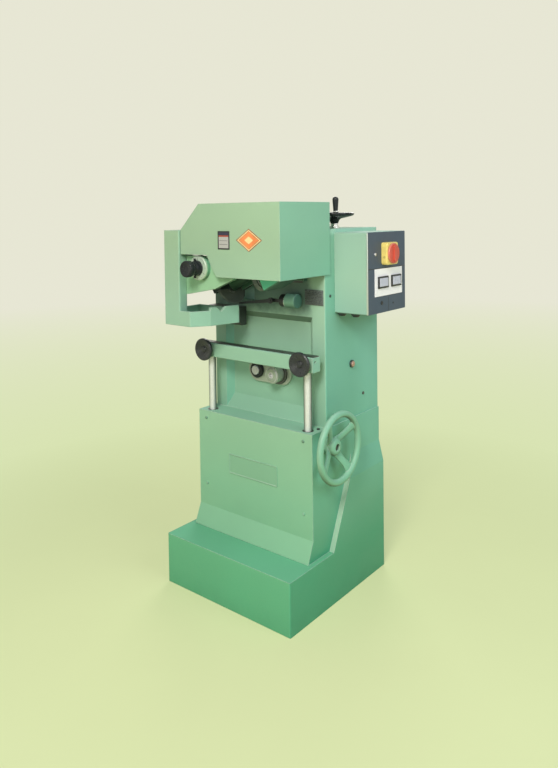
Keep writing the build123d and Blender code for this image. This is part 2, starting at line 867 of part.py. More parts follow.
# Cross shaft with a collar inside each bearing
collar_out = pedestal_x - frame_wall - face_gap
with BuildPart() as cross_shaft:
    rod_along_x(shaft_y, shaft_z, -pedestal_x + face_gap, bearing_face + face_gap, shaft_radius)
    rod_along_x(shaft_y, shaft_z, bearing_face + face_gap, hub_end_x - 6.0, shaft_end_radius)
    for side in (-1, 1):
        collar = sorted((side * collar_out, side * (collar_out - 8.0)))
        rod_along_x(shaft_y, shaft_z, *collar, shaft_radius + 7.0)
cross_shaft.part.label = "cross_shaft"
export_step(cross_shaft.part, "parts/cross_shaft.step")


def tooth_half_angle(radius):
    """Half the angle that a pinion tooth takes up at a radius, on an involute flank."""
    base_radius = pitch_radius * cos(pressure_angle)
    flank_angle = acos(min(1.0, base_radius / radius))
    rise = tan(pressure_angle) - pressure_angle - (tan(flank_angle) - flank_angle)
    return pi / (2 * pinion_teeth) - backlash / (2 * pitch_radius) + rise


# Pinions, with a tooth space on each rod's side at rest
pinion_outline = []
root_radius = pitch_radius - 1.25 * gear_module
tip_radius = pitch_radius + gear_module
for tooth in range(pinion_teeth):
    middle = pi + (tooth + 0.5) * 2 * pi / pinion_teeth
    flank = [(r, tooth_half_angle(r)) for r in (root_radius, pitch_radius, tip_radius)]
    corners = [(r, middle - half) for r, half in flank] + [(r, middle + half) for r, half in reversed(flank)]
    pinion_outline += [(shaft_y + r * cos(a), shaft_z + r * sin(a)) for r, a in corners]
with BuildPart() as rack_pinions:
    for x in (-rod_x, rod_x):
        with BuildSketch(Plane.YZ.offset(x - pinion_width / 2)):
            Polygon(*pinion_outline, align=None)
        extrude(amount=pinion_width)
        rod_along_x(
            shaft_y,
            shaft_z,
            x - pinion_width / 2,
            x + pinion_width / 2,
            shaft_radius + seat_gap,
            mode=Mode.SUBTRACT,
        )
rack_pinions.part.label = "rack_pinions"
export_step(rack_pinions.part, "parts/rack_pinions.step")

# Handwheel: round rim, three dished spokes and a bored hub
hub_start_x = bearing_face + 2 * face_gap
with BuildPart() as handwheel:
    with Locations(Location((wheel_plane_x, shaft_y, shaft_z), (0, 90, 0))):
        Torus(wheel_rim_radius, wheel_rim_section)
    hub_plane = Plane(origin=(0, shaft_y, shaft_z), x_dir=(1, 0, 0), z_dir=(0, 0, 1))
    with BuildSketch(hub_plane):
        Polygon(
            (hub_start_x, 0),
            (hub_start_x, hub_radius - 5),
            (hub_start_x + 8, hub_radius),
            (hub_end_x - 10, hub_radius),
            (hub_end_x, hub_radius - 7),
            (hub_end_x, 0),
            align=None,
        )
    revolve(axis=shaft_axis)
    for angle in (spoke_turn, spoke_turn + 120.0, spoke_turn + 240.0):
        radial = (0, cos(radians(angle)), sin(radians(angle)))
        spoke_plane = Plane(
            origin=(0, shaft_y, shaft_z), x_dir=radial, z_dir=(0, sin(radians(angle)), -cos(radians(angle)))
        )
        with BuildLine(spoke_plane) as spoke_path:
            ThreePointArc(
                (hub_radius - 8, hub_end_x - 13),
                (wheel_rim_radius * 0.62, wheel_plane_x - 10),
                (wheel_rim_radius - 2, wheel_plane_x),
            )
        across = (0, -radial[2], radial[1])
        with BuildSketch(Plane(origin=spoke_path.line @ 0, x_dir=across, z_dir=spoke_path.line % 0)):
            Ellipse(spoke_half_width, spoke_half_depth)
        sweep(path=spoke_path.line)
    rod_along_x(
        shaft_y, shaft_z, hub_start_x, hub_end_x, shaft_end_radius + seat_gap, mode=Mode.SUBTRACT
    )
handwheel.part.label = "handwheel"
export_step(handwheel.part, "parts/handwheel.step")

# Oblong flange in the pocket, with the sleeve of the drive shaft
with BuildPart() as drive_flange:
    with BuildSketch(front_plane(pocket_floor)):
        with Locations((0, cluster_z)):
            SlotCenterToCenter(cluster_spacing, 2 * cluster_radius)
    extrude(amount=cluster_plate)
    fillet(drive_flange.faces().sort_by(Axis.Y)[0].edges(), radius=3)
    rod_along_y(drive_x, cluster_z, sleeve_front, plate_front, sleeve_radius)
    rod_along_y(
        drive_x, cluster_z, sleeve_front, pocket_floor, nose_radius + running_gap, mode=Mode.SUBTRACT
    )
    rod_along_y(
        pitch_x, cluster_z, plate_front, pocket_floor, pitch_spindle_radius + running_gap, mode=Mode.SUBTRACT
    )
drive_flange.part.label = "drive_flange"
export_step(drive_flange.part, "parts/drive_flange.step")

# Clamp ring round the sleeve's root
with BuildPart() as sleeve_ring:
    with BuildSketch(front_plane(plate_front)):
        with Locations((drive_x, cluster_z)):
            Circle(sleeve_radius + 10)
            Circle(sleeve_radius + seat_gap, mode=Mode.SUBTRACT)
    extrude(amount=10)
    chamfer(sleeve_ring.faces().sort_by(Axis.Y)[0].edges(), length=1.5)
sleeve_ring.part.label = "sleeve_ring"
export_step(sleeve_ring.part, "parts/sleeve_ring.step")

# Cycle shaft: bright nose at the front, cams behind the wall
camshaft_end = web_y + frame_wall + gearbox_depth - 10.0
with BuildPart() as camshaft:
    rod_along_y(drive_x, cluster_z, sleeve_front - nose_reach, pocket_floor - 2.0, nose_radius)
    rod_along_y(drive_x, cluster_z, pocket_floor - 2.0, camshaft_end, camshaft_radius)
    chamfer(camshaft.faces().sort_by(Axis.Y)[0].edges(), length=2)
    rod_along_y(
        drive_x, cluster_z, sleeve_front - nose_reach, sleeve_front - nose_reach + 6.0, 8.0, mode=Mode.SUBTRACT
    )
camshaft.part.label = "camshaft"
export_step(camshaft.part, "parts/camshaft.step")

# Feed cam and stroke cam
with BuildPart() as drive_cams:
    for turn, y in zip((0.0, 120.0), cam_places_y):
        cam_x = drive_x + cam_throw * cos(radians(turn))
        cam_z = cluster_z + cam_throw * sin(radians(turn))
        rod_along_y(cam_x, cam_z, y, y + cam_width, cam_radius)
        rod_along_y(drive_x, cluster_z, y, y + cam_width, camshaft_radius + seat_gap, mode=Mode.SUBTRACT)
drive_cams.part.label = "drive_cams"
export_step(drive_cams.part, "parts/drive_cams.step")

# Gear motor on the cross web
gearbox_front = web_y + frame_wall
gearbox_left = drive_x - gearbox_size / 2
with BuildPart() as gear_motor:
    block(
        (gearbox_left, gearbox_left + gearbox_size),
        (gearbox_front, gearbox_front + gearbox_depth),
        (cluster_z - gearbox_size / 2, cluster_z + gearbox_size / 2),
    )
    fillet(gear_motor.edges().filter_by(Axis.Y), radius=14)
    rod_along_x(
        gearbox_front + gear_motor_radius + 2.0,
        cluster_z,
        gearbox_left - gear_motor_length,
        gearbox_left,
        gear_motor_radius,
    )
    rod_along_y(
        drive_x,
        cluster_z,
        gearbox_front,
        gearbox_front + gearbox_depth,
        camshaft_radius + running_gap,
        mode=Mode.SUBTRACT,
    )
gear_motor.part.label = "gear_motor"
export_step(gear_motor.part, "parts/gear_motor.step")

# Tooth-pitch adjuster: bright spindle and its black ring
ring_back = plate_front - 1.0
ring_front = ring_back - pitch_ring_width
with BuildPart() as pitch_spindle:
    rod_along_y(pitch_x, cluster_z, ring_front - 6.0, pocket_floor, pitch_spindle_radius)
    rod_along_y(pitch_x, cluster_z, pocket_floor, cavity_front + 24.0, pitch_spindle_radius - 6.0)
    chamfer(pitch_spindle.faces().sort_by(Axis.Y)[0].edges(), length=2)
pitch_spindle.part.label = "pitch_spindle"
export_step(pitch_spindle.part, "parts/pitch_spindle.step")

with BuildPart() as pitch_ring:
    with BuildSketch(front_plane(ring_back)):
        with Locations((pitch_x, cluster_z)):
            Circle(pitch_ring_radius)
            Circle(pitch_spindle_radius + seat_gap, mode=Mode.SUBTRACT)
    extrude(amount=pitch_ring_width)
    chamfer(pitch_ring.faces().sort_by(Axis.Y)[0].edges(), length=3)
pitch_ring.part.label = "pitch_ring"
export_step(pitch_ring.part, "parts/pitch_ring.step")

# Rear jaw: bracket on the column behind the blade
with BuildPart() as rear_jaw:
    with BuildSketch(Plane.YZ.offset(rear_jaw_left)):
        Polygon(
            (column_front, rear_jaw_bottom),
            (column_front, jaw_top),
            (rear_jaw_face, jaw_top),
            (rear_jaw_face, rear_jaw_bottom + 30),
            (rear_jaw_face + 26, rear_jaw_bottom),
            align=None,
        )
    extrude(amount=rear_jaw_right - rear_jaw_left)
    chamfer(rear_jaw.faces().sort_by(Axis.Y)[0].edges().filter_by(Axis.Z), length=5)
rear_jaw.part.label = "rear_jaw"
export_step(rear_jaw.part, "parts/rear_jaw.step")

# Arm that reaches over the blade, with a walled foot for the front jaw
foot_outline = (
    (arm_left, arm_front),
    (arm_left + foot_front_width, arm_front),
    (arm_left + foot_middle_width, arm_front + foot_middle),
    (arm_left + foot_back_width, foot_back),
    (arm_left, foot_back),
)
with BuildPart() as c_arm:
    with BuildSketch(Plane.XY.offset(foot_bottom)):
        Polygon(*foot_outline, align=None)
    extrude(amount=foot_height)
    # Right wall of the foot stands higher and has a sighting notch
    with BuildSketch(Plane.XY.offset(foot_top)):
        Polygon(
            foot_outline[2],
            foot_outline[3],
            (foot_outline[3][0] - foot_wall, foot_back),
            (foot_outline[2][0] - foot_wall, foot_outline[2][1]),
            align=None,
        )
    extrude(amount=notch_wall_top - foot_top)
    with BuildSketch(Plane.XY.offset(foot_bottom + foot_floor)):
        Polygon(*foot_outline, align=None)
        offset(amount=-foot_wall, kind=Kind.INTERSECTION, mode=Mode.REPLACE)
    extrude(amount=notch_wall_top - foot_bottom - foot_floor, mode=Mode.SUBTRACT)
    with BuildSketch(Plane.YZ.offset(foot_outline[2][0] - 2 * foot_wall)):
        Polygon(
            (notch_y - notch_half_width, notch_wall_top),
            (notch_y, notch_wall_top - notch_depth),
            (notch_y + notch_half_width, notch_wall_top),
            align=None,
        )
    extrude(amount=5 * foot_wall, mode=Mode.SUBTRACT)
    with BuildSketch(Plane.YZ.offset(arm_left)) as arm_side:
        Polygon(
            (column_front, column_top),
            (arm_front, column_top),
            (arm_front, foot_bottom),
            (leg_back, foot_bottom),
            (leg_back, beam_bottom),
            (column_front, beam_bottom),
            align=None,
        )
        fillet(arm_side.vertices().sort_by_distance((leg_back, beam_bottom))[0], radius=arm_fillet)
    extrude(amount=arm_width)
    fillet(c_arm.edges().filter_by(Axis.Z).group_by(Axis.Y)[0], radius=edge_radius)
c_arm.part.label = "c_arm"
export_step(c_arm.part, "parts/c_arm.step")

# Front jaw plate on the foot's back
with BuildPart() as front_jaw:
    block(
        (arm_left + jaw_margin, foot_outline[3][0] - jaw_margin),
        (foot_back, front_jaw_face),
        (foot_bottom + jaw_margin / 2, jaw_top),
    )
    chamfer(front_jaw.faces().sort_by(Axis.Y)[-1].edges().filter_by(Axis.Z), length=5)
front_jaw.part.label = "front_jaw"
export_step(front_jaw.part, "parts/front_jaw.step")

# Bracket plate of the dial, on the back of the arm's leg
with BuildPart() as dial_bracket:
    with BuildSketch(front_plane(bracket_back)):
        Polygon(
            (arm_left + bracket_inset, bracket_low),
            (arm_right, bracket_low),
            (arm_right + bracket_middle_width, bracket_low + bracket_middle_rise),
            (arm_right + bracket_width, bracket_low + bracket_end_rise),
            (arm_right + bracket_width, bracket_low + bracket_end_rise + bracket_end_height),
            (arm_right + bracket_middle_width + bracket_shoulder_width, bracket_top),
            (arm_right + bracket_spacing, bracket_top),
            (arm_right + bracket_spacing, bracket_step),
            (arm_left + bracket_inset, bracket_step),
            align=None,
        )
    extrude(amount=bracket_depth)
    rod_along_y(dial_x, dial_z, dial_back, leg_back, dial_boss_radius)
    rod_along_y(
        dial_x, dial_z, dial_back, bracket_back, dial_spindle_radius + running_gap, mode=Mode.SUBTRACT
    )
dial_bracket.part.label = "dial_bracket"
export_step(dial_bracket.part, "parts/dial_bracket.step")

# Dial, knob and spindle that turn together
with BuildPart() as dial_disc:
    with BuildSketch(front_plane(dial_back - slide_gap)):
        with Locations((dial_x, dial_z)):
            Circle(dial_radius)
            Circle(dial_spindle_radius + seat_gap, mode=Mode.SUBTRACT)
    extrude(amount=dial_thickness)
    chamfer(dial_disc.faces().sort_by(Axis.Y)[0].edges().sort_by(Edge.length)[-1], length=3)
dial_disc.part.label = "dial_disc"
export_step(dial_disc.part, "parts/dial_disc.step")

knob_back = dial_back - slide_gap - dial_thickness
with BuildPart() as dial_knob:
    rod_along_y(dial_x, dial_z, knob_back - dial_neck, knob_back, dial_neck_radius)
    rod_along_y(dial_x, dial_z, knob_back - dial_neck - dial_grip, knob_back - dial_neck, dial_grip_radius)
    chamfer(dial_knob.faces().sort_by(Axis.Y)[0].edges(), length=3)
    rod_along_y(
        dial_x,
        dial_z,
        knob_back - dial_spindle_nose,
        knob_back,
        dial_spindle_radius + seat_gap,
        mode=Mode.SUBTRACT,
    )
dial_knob.part.label = "dial_knob"
export_step(dial_knob.part, "parts/dial_knob.step")

with BuildPart() as dial_spindle:
    rod_along_y(
        dial_x, dial_z, knob_back - dial_spindle_nose, bracket_back + dial_spindle_tail, dial_spindle_radius
    )
    rod_along_y(
        dial_x, dial_z, bracket_back + slide_gap, bracket_back + 10.0, dial_spindle_radius + 6.0
    )
dial_spindle.part.label = "dial_spindle"
export_step(dial_spindle.part, "parts/dial_spindle.step")

# Hood: folded sheet, open underneath and cut out for the dial
mitre = hood_sheet * tan(radians(22.5))
hood_shoulder = hood_top - hood_chamfer
with BuildPart() as hood:
    with BuildSketch(front_plane(hood_back)):
        Polygon(
            (hood_left, hood_bottom),
            (hood_left, hood_shoulder),
            (hood_left + hood_chamfer, hood_top),
            (hood_right, hood_top),
            (hood_right, hood_bottom),
            align=None,
        )
    extrude(amount=hood_back - hood_front)
    with BuildSketch(front_plane(hood_back - hood_sheet)):
        Polygon(
            (hood_left + hood_sheet, hood_bottom),
            (hood_left + hood_sheet, hood_shoulder - mitre),
            (hood_left + hood_chamfer + mitre, hood_top - hood_sheet),
            (hood_right - hood_sheet, hood_top - hood_sheet),
            (hood_right - hood_sheet, hood_bottom),
            align=None,
        )
    extrude(amount=hood_back - hood_front - 2 * hood_sheet, mode=Mode.SUBTRACT)
    # The back fits over the column, and a lip rests on the column's top
    block(
        (hood_left, hood_right - hood_sheet),
        (column_front - face_gap, hood_back),
        (hood_bottom, column_top),
        mode=Mode.SUBTRACT,
    )
    block(
        (hood_left + hood_sheet, hood_right - hood_sheet),
        (column_front, hood_back),
        (column_top, column_top + hood_sheet),
    )
    # Cut-out round the dial, through the front and along the left side
    with BuildSketch(front_plane(hood_front + hood_sheet)):
        Polygon(
            (hood_left, hood_cut_top),
            (dial_x + hood_cut_upper, hood_cut_top),
            (dial_x + hood_cut_middle, dial_z),
            (dial_x + hood_cut_lower, hood_bottom),
            (hood_left, hood_bottom),
            align=None,
        )
    extrude(amount=hood_sheet, mode=Mode.SUBTRACT)
    block(
        (hood_left, hood_left + hood_sheet),
        (hood_front, hood_back),
        (hood_bottom, hood_cut_top),
        mode=Mode.SUBTRACT,
    )
hood.part.label = "hood"
export_step(hood.part, "parts/hood.step")

# Dovetail guide on the column's front
with BuildPart() as head_guide:
    with BuildSketch(Plane.XY.offset(guide_bottom)):
        Polygon(
            (guide_x - guide_root_width / 2, column_front),
            (guide_x + guide_root_width / 2, column_front),
            (guide_x + guide_face_width / 2, guide_face),
            (guide_x - guide_face_width / 2, guide_face),
            align=None,
        )
    extrude(amount=guide_top - guide_bottom)
head_guide.part.label = "head_guide"
export_step(head_guide.part, "parts/head_guide.step")

# Carriage: plate with gibs on the dovetail, motor cradle and nut arm
gib_back = column_front - 1.0
flank_run = (guide_face_width - guide_root_width) / 2 * (gib_back - guide_face) / guide_depth
with BuildPart() as head_carriage:
    head_plate_start = guard_right + head_plate_gap
    with BuildSketch(front_plane(carriage_back)):
        with Locations(Location((wheel_centre_x, wheel_centre_z), head_tilt_degrees)):
            head_plate_middle = (head_plate_above - head_plate_below) / 2
            with Locations(((head_plate_start + head_plate_end) / 2, head_plate_middle)):
                Rectangle(head_plate_end - head_plate_start, head_plate_above + head_plate_below)
        with Locations(((carriage_left + carriage_right) / 2, (carriage_bottom + carriage_top) / 2)):
            Rectangle(carriage_right - carriage_left, carriage_top - carriage_bottom)
        nut_arm_right = crank_x + nut_arm_width / 2
        with Locations(((carriage_right + nut_arm_right) / 2, (nut_arm_bottom + nut_arm_top) / 2)):
            Rectangle(nut_arm_right - carriage_right, nut_arm_height)
    extrude(amount=carriage_depth)
    for side in (-1, 1):
        with BuildSketch(Plane.XY.offset(carriage_bottom + gib_inset)):
            Polygon(
                (guide_x + side * (guide_face_width / 2 + slide_gap), carriage_back),
                (guide_x + side * (guide_face_width / 2 + gib_width), carriage_back),
                (guide_x + side * (guide_face_width / 2 + gib_width), gib_back),
                (guide_x + side * (guide_face_width / 2 - flank_run + slide_gap), gib_back),
                align=None,
            )
        extrude(amount=carriage_height - 2 * gib_inset)
    block(
        (crank_x - nut_arm_width / 2, crank_x + nut_arm_width / 2),
        (carriage_back, crank_y + nut_arm_width / 2),
        (nut_arm_bottom, nut_arm_top),
    )
    rod_along_z(
        crank_x,
        crank_y,
        nut_arm_bottom,
        nut_arm_top,
        lead_screw_radius + running_gap,
        mode=Mode.SUBTRACT,
    )
    cradle_back = carriage_back - carriage_depth / 2 - blade_plane
    cradle_front = motor_half_width - cradle_lap - motor_spacing
    with BuildSketch(head_plane.offset(motor_start + cradle_inset)):
        with Locations(((cradle_back + cradle_front) / 2, -motor_drop)):
            Rectangle(cradle_back - cradle_front, cradle_width)
        with Locations((-motor_spacing, -motor_drop)):
            Rectangle(
                2 * (motor_half_width + slide_gap), 2 * (motor_half_width + slide_gap), mode=Mode.SUBTRACT
            )
    extrude(amount=cradle_length)
    # Relief for the spindle pulley and the belt
    with BuildSketch(head_plane.offset(pulley_spacing - belt_relief)):
        Circle(spindle_pulley_radius + belt_gap + belt_thickness + belt_relief)
    extrude(amount=pulley_width + spindle_tail_length + 2 * belt_relief, mode=Mode.SUBTRACT)
head_carriage.part.label = "head_carriage"
export_step(head_carriage.part, "parts/head_carriage.step")

# Spindle housing with its foot on the carriage
with BuildPart() as spindle_housing:
    with BuildSketch(head_plane.offset(guard_right)):
        Circle(housing_radius)
    extrude(amount=housing_end - guard_right)
    foot_reach = carriage_face - blade_plane
    with BuildSketch(head_plane.offset(guard_right + housing_foot_inset)):
        with Locations((foot_reach / 2, 0)):
            Rectangle(foot_reach, 1.4 * housing_radius)
    extrude(amount=housing_end - guard_right - housing_foot_inset - housing_foot_end)
    with BuildSketch(head_plane.offset(guard_right)):
        Circle(spindle_radius + running_gap)
    extrude(amount=housing_end - guard_right, mode=Mode.SUBTRACT)
spindle_housing.part.label = "spindle_housing"
export_step(spindle_housing.part, "parts/spindle_housing.step")

# Grinding spindle
half_wheel = wheel_thickness / 2
shoulder = half_wheel + flange_thickness
with BuildPart() as spindle:
    with BuildSketch(head_plane.offset(-shoulder - nut_thickness - spindle_nose_length)):
        Circle(spindle_nose_radius)
    extrude(amount=2 * shoulder + nut_thickness + spindle_nose_length)
    with BuildSketch(head_plane.offset(shoulder)):
        Circle(spindle_radius)
    extrude(amount=pulley_spacing + pulley_width + spindle_tail_length - shoulder)
spindle.part.label = "spindle"
export_step(spindle.part, "parts/spindle.step")

# Grinding wheel
with BuildPart() as grinding_wheel:
    with BuildSketch(head_plane.offset(-half_wheel)):
        Circle(wheel_radius)
        Circle(spindle_nose_radius + seat_gap, mode=Mode.SUBTRACT)
    extrude(amount=wheel_thickness)
    rims = grinding_wheel.edges().filter_by(GeomType.CIRCLE).sort_by(Edge.length)[-2:]
    chamfer(rims, length=2.5)
grinding_wheel.part.label = "grinding_wheel"
export_step(grinding_wheel.part, "parts/grinding_wheel.step")

# Clamping flanges and nut of the wheel
with BuildPart() as wheel_flanges:
    for start in (-shoulder, half_wheel):
        with BuildSketch(head_plane.offset(start)):
            Circle(flange_radius)
            Circle(spindle_nose_radius + seat_gap, mode=Mode.SUBTRACT)
        extrude(amount=flange_thickness)
    with BuildSketch(head_plane.offset(-shoulder - nut_thickness - face_gap / 5)):
        RegularPolygon(nut_flats / 2, 6, major_radius=False)
        Circle(spindle_nose_radius + seat_gap, mode=Mode.SUBTRACT)
    extrude(amount=nut_thickness)
wheel_flanges.part.label = "wheel_flanges"
export_step(wheel_flanges.part, "parts/wheel_flanges.step")

# Guard over the upper part of the wheel
with BuildPart() as wheel_guard:
    with BuildSketch(head_plane.offset(-guard_left)):
        Circle(guard_outer)
    extrude(amount=guard_left + guard_right)
    with BuildSketch(head_plane.offset(guard_sheet - guard_left)):
        Circle(guard_inner)
    extrude(amount=guard_left + guard_right - 2 * guard_sheet, mode=Mode.SUBTRACT)
    with BuildSketch(head_plane.offset(-guard_left)):
        Circle(flange_radius + 12.0)
    extrude(amount=guard_sheet, mode=Mode.SUBTRACT)
    with BuildSketch(head_plane.offset(guard_right - guard_sheet)):
        Circle(spindle_radius + 3.0)
    extrude(amount=guard_sheet, mode=Mode.SUBTRACT)
    with BuildSketch(head_plane.offset(-guard_left)):
        with Locations((0, -guard_cut - guard_inner)):
            Rectangle(2.2 * guard_inner, 2 * guard_inner)
    extrude(amount=guard_left + guard_right, mode=Mode.SUBTRACT)
wheel_guard.part.label = "wheel_guard"
export_step(wheel_guard.part, "parts/wheel_guard.step")

# Belt drive: spindle pulley, motor with its pulley, and flat belt
with BuildPart() as spindle_pulley:
    with BuildSketch(head_plane.offset(pulley_spacing)):
        Circle(spindle_pulley_radius)
        Circle(spindle_radius + seat_gap, mode=Mode.SUBTRACT)
    extrude(amount=pulley_width)
spindle_pulley.part.label = "spindle_pulley"
export_step(spindle_pulley.part, "parts/spindle_pulley.step")

motor_centre = (-motor_spacing, -motor_drop)
with BuildPart() as grinding_motor:
    with BuildSketch(head_plane.offset(motor_start)):
        with Locations(motor_centre):
            Rectangle(2 * motor_half_width, 2 * motor_half_width)
    extrude(amount=motor_length)
    chamfer(grinding_motor.edges(), length=motor_edge)
    with BuildSketch(head_plane.offset(motor_start)):
        with Locations(motor_centre):
            Circle(motor_shaft_radius + running_gap)
    extrude(amount=motor_shaft_depth + 2.0, mode=Mode.SUBTRACT)
grinding_motor.part.label = "grinding_motor"
export_step(grinding_motor.part, "parts/grinding_motor.step")

with BuildPart() as motor_pulley:
    with BuildSketch(head_plane.offset(pulley_spacing)):
        with Locations(motor_centre):
            Circle(motor_pulley_radius)
    extrude(amount=pulley_width)
    with BuildSketch(head_plane.offset(pulley_spacing + pulley_width)):
        with Locations(motor_centre):
            Circle(motor_shaft_radius)
    extrude(amount=motor_start + motor_shaft_depth - pulley_spacing - pulley_width)
motor_pulley.part.label = "motor_pulley"
export_step(motor_pulley.part, "parts/motor_pulley.step")

belt_start = pulley_spacing + (pulley_width - belt_width) / 2
with BuildPart() as drive_belt:
    for layer, mode in ((belt_gap + belt_thickness, Mode.ADD), (belt_gap, Mode.SUBTRACT)):
        with BuildSketch(head_plane.offset(belt_start)):
            Circle(spindle_pulley_radius + layer)
            with Locations(motor_centre):
                Circle(motor_pulley_radius + layer)
            make_hull()
        extrude(amount=belt_width, mode=mode)
drive_belt.part.label = "drive_belt"
export_step(drive_belt.part, "parts/drive_belt.step")

# Feed cylinder on the column, with its plunger and the pawl that moves the teeth along
with BuildPart() as feed_cylinder:
    rod_along_x(feed_y, feed_z, feed_cylinder_left, feed_cylinder_right, feed_cylinder_radius)
    fillet(feed_cylinder.faces().sort_by(Axis.X)[-1].edges(), radius=5)
    chamfer(feed_cylinder.faces().sort_by(Axis.X)[0].edges(), length=2)
    block(
        (feed_cylinder_left + feed_foot_inset, feed_cylinder_right - feed_foot_inset),
        (feed_y, column_front),
        (feed_z - feed_foot_height / 2, feed_z + feed_foot_height / 2),
    )
    rod_along_x(
        feed_y,
        feed_z,
        feed_cylinder_left,
        plunger_right + feed_stroke + 2.0,
        feed_plunger_radius + running_gap,
        mode=Mode.SUBTRACT,
    )
feed_cylinder.part.label = "feed_cylinder"
export_step(feed_cylinder.part, "parts/feed_cylinder.step")

pin_x = feed_arm_left + pawl_pin_radius + 3.0
pawl_back = blade_plane + pawl_thickness / 2
pin_front = blade_plane - pawl_thickness / 2 - 3.0
arm_back = feed_y - feed_plunger_radius / 2
with BuildPart() as feed_plunger:
    rod_along_x(feed_y, feed_z, feed_plunger_left, plunger_right, feed_plunger_radius)
    chamfer(feed_plunger.faces().sort_by(Axis.X)[0].edges(), length=2)
    block(
        (feed_arm_left, feed_plunger_left),
        (arm_back - feed_arm_depth, arm_back),
        (feed_z - feed_arm_height / 2, feed_z + feed_arm_height / 2),
    )
    rod_along_y(pin_x, feed_z, pin_front, arm_back, pawl_pin_radius)
feed_plunger.part.label = "feed_plunger"
export_step(feed_plunger.part, "parts/feed_plunger.step")

pawl_tip_z = tooth_line + 1.0
with BuildPart() as feed_pawl:
    with BuildSketch(front_plane(pawl_back)):
        with Locations((pin_x, feed_z)):
            Circle(pawl_eye_radius)
        Polygon(
            (pin_x, feed_z + 7.0),
            (pawl_tip_x + 10.0, pawl_tip_z + pawl_tip_height + 3.0),
            (pawl_tip_x, pawl_tip_z + pawl_tip_height),
            (pawl_tip_x, pawl_tip_z),
            (pawl_tip_x + 14.0, pawl_tip_z + 2.0),
            (pin_x, feed_z - 7.0),
            align=None,
        )
        with Locations((pin_x, feed_z)):
            Circle(pawl_pin_radius + running_gap, mode=Mode.SUBTRACT)
    extrude(amount=pawl_thickness)
feed_pawl.part.label = "feed_pawl"
export_step(feed_pawl.part, "parts/feed_pawl.step")

# Rubber pad on the column beside the feed
with BuildPart() as column_pad:
    block(
        (feed_cylinder_right + pad_spacing, column_x - pad_inset),
        (column_front - pad_thickness, column_front),
        (pad_bottom, pad_bottom + pad_height),
    )
    chamfer(column_pad.faces().sort_by(Axis.Y)[0].edges(), length=2)
column_pad.part.label = "column_pad"
export_step(column_pad.part, "parts/column_pad.step")

# Electric box: sheet case, open to the right
with BuildPart() as electric_box:
    block(
        (column_x, electric_face), (electric_front, electric_back), (electric_bottom, electric_top)
    )
    fillet(electric_box.edges().filter_by(Axis.X), radius=edge_radius)
    block(
        (column_x + electric_sheet, electric_face),
        (electric_front + electric_sheet, electric_back - electric_sheet),
        (electric_bottom + electric_sheet, electric_top - electric_sheet),
        mode=Mode.SUBTRACT,
    )
    for x, y in gland_places:
        rod_along_z(
            x,
            y,
            electric_bottom,
            electric_bottom + electric_sheet,
            gland_radius - 4.0 + seat_gap,
            mode=Mode.SUBTRACT,
        )
electric_box.part.label = "electric_box"
export_step(electric_box.part, "parts/electric_box.step")

# Control panel that closes the box
with BuildPart() as control_panel:
    block((electric_face, panel_face), (electric_front, electric_back), (electric_bottom, electric_top))
    fillet(control_panel.edges().filter_by(Axis.X), radius=edge_radius)
    rod_along_x(
        switch_y, switch_z, electric_face, panel_face, switch_shaft_radius + 2.0, mode=Mode.SUBTRACT
    )
    for y in button_places:
        block(
            (electric_face, panel_face),
            (y - button_width / 2, y + button_width / 2),
            (button_z - button_height / 2, button_z + button_height / 2),
            mode=Mode.SUBTRACT,
        )
control_panel.part.label = "control_panel"
export_step(control_panel.part, "parts/control_panel.step")

# Main switch: square base and turning disc
switch_face = panel_face + switch_base_depth
with BuildPart() as switch_base:
    with BuildSketch(Plane.YZ.offset(panel_face)):
        with Locations((switch_y, switch_z)):
            RectangleRounded(switch_size, switch_size, 10)
            Circle(switch_shaft_radius + running_gap, mode=Mode.SUBTRACT)
    extrude(amount=switch_base_depth)
    outer_rim = switch_base.faces().sort_by(Axis.X)[-1].outer_wire().edges()
    fillet(outer_rim, radius=4)
switch_base.part.label = "switch_base"
export_step(switch_base.part, "parts/switch_base.step")

with BuildPart() as switch_knob:
    knob_face = switch_face + slide_gap
    rod_along_x(switch_y, switch_z, knob_face, knob_face + switch_knob_depth, switch_knob_radius)
    fillet(switch_knob.faces().sort_by(Axis.X)[-1].edges(), radius=2)
    with BuildSketch(Plane.YZ.offset(knob_face + switch_knob_depth)):
        with Locations((switch_y, switch_z)):
            RectangleRounded(16, 2 * switch_knob_radius - 12, 7)
    extrude(amount=switch_grip_depth)
    rod_along_x(switch_y, switch_z, electric_face - 20.0, knob_face, switch_shaft_radius)
switch_knob.part.label = "switch_knob"
export_step(switch_knob.part, "parts/switch_knob.step")

# White plate with two framed push buttons
with BuildPart() as button_plate:
    block(
        (panel_face, plate_face),
        (plate_y - plate_width / 2, plate_y + plate_width / 2),
        (plate_z - plate_height / 2, plate_z + plate_height / 2),
    )
    for y in button_places:
        block(
            (panel_face, plate_face),
            (y - button_width / 2, y + button_width / 2),
            (button_z - button_height / 2, button_z + button_height / 2),
            mode=Mode.SUBTRACT,
        )
button_plate.part.label = "button_plate"
export_step(button_plate.part, "parts/button_plate.step")

bezel_face = plate_face + bezel_depth
with BuildPart() as button_frames:
    for y in button_places:
        with BuildSketch(Plane.YZ.offset(plate_face)):
            with Locations((y, button_z)):
                RectangleRounded(bezel_width, bezel_height, 3)
                Rectangle(button_width, button_height, mode=Mode.SUBTRACT)
        extrude(amount=bezel_depth)
button_frames.part.label = "button_frames"
export_step(button_frames.part, "parts/button_frames.step")

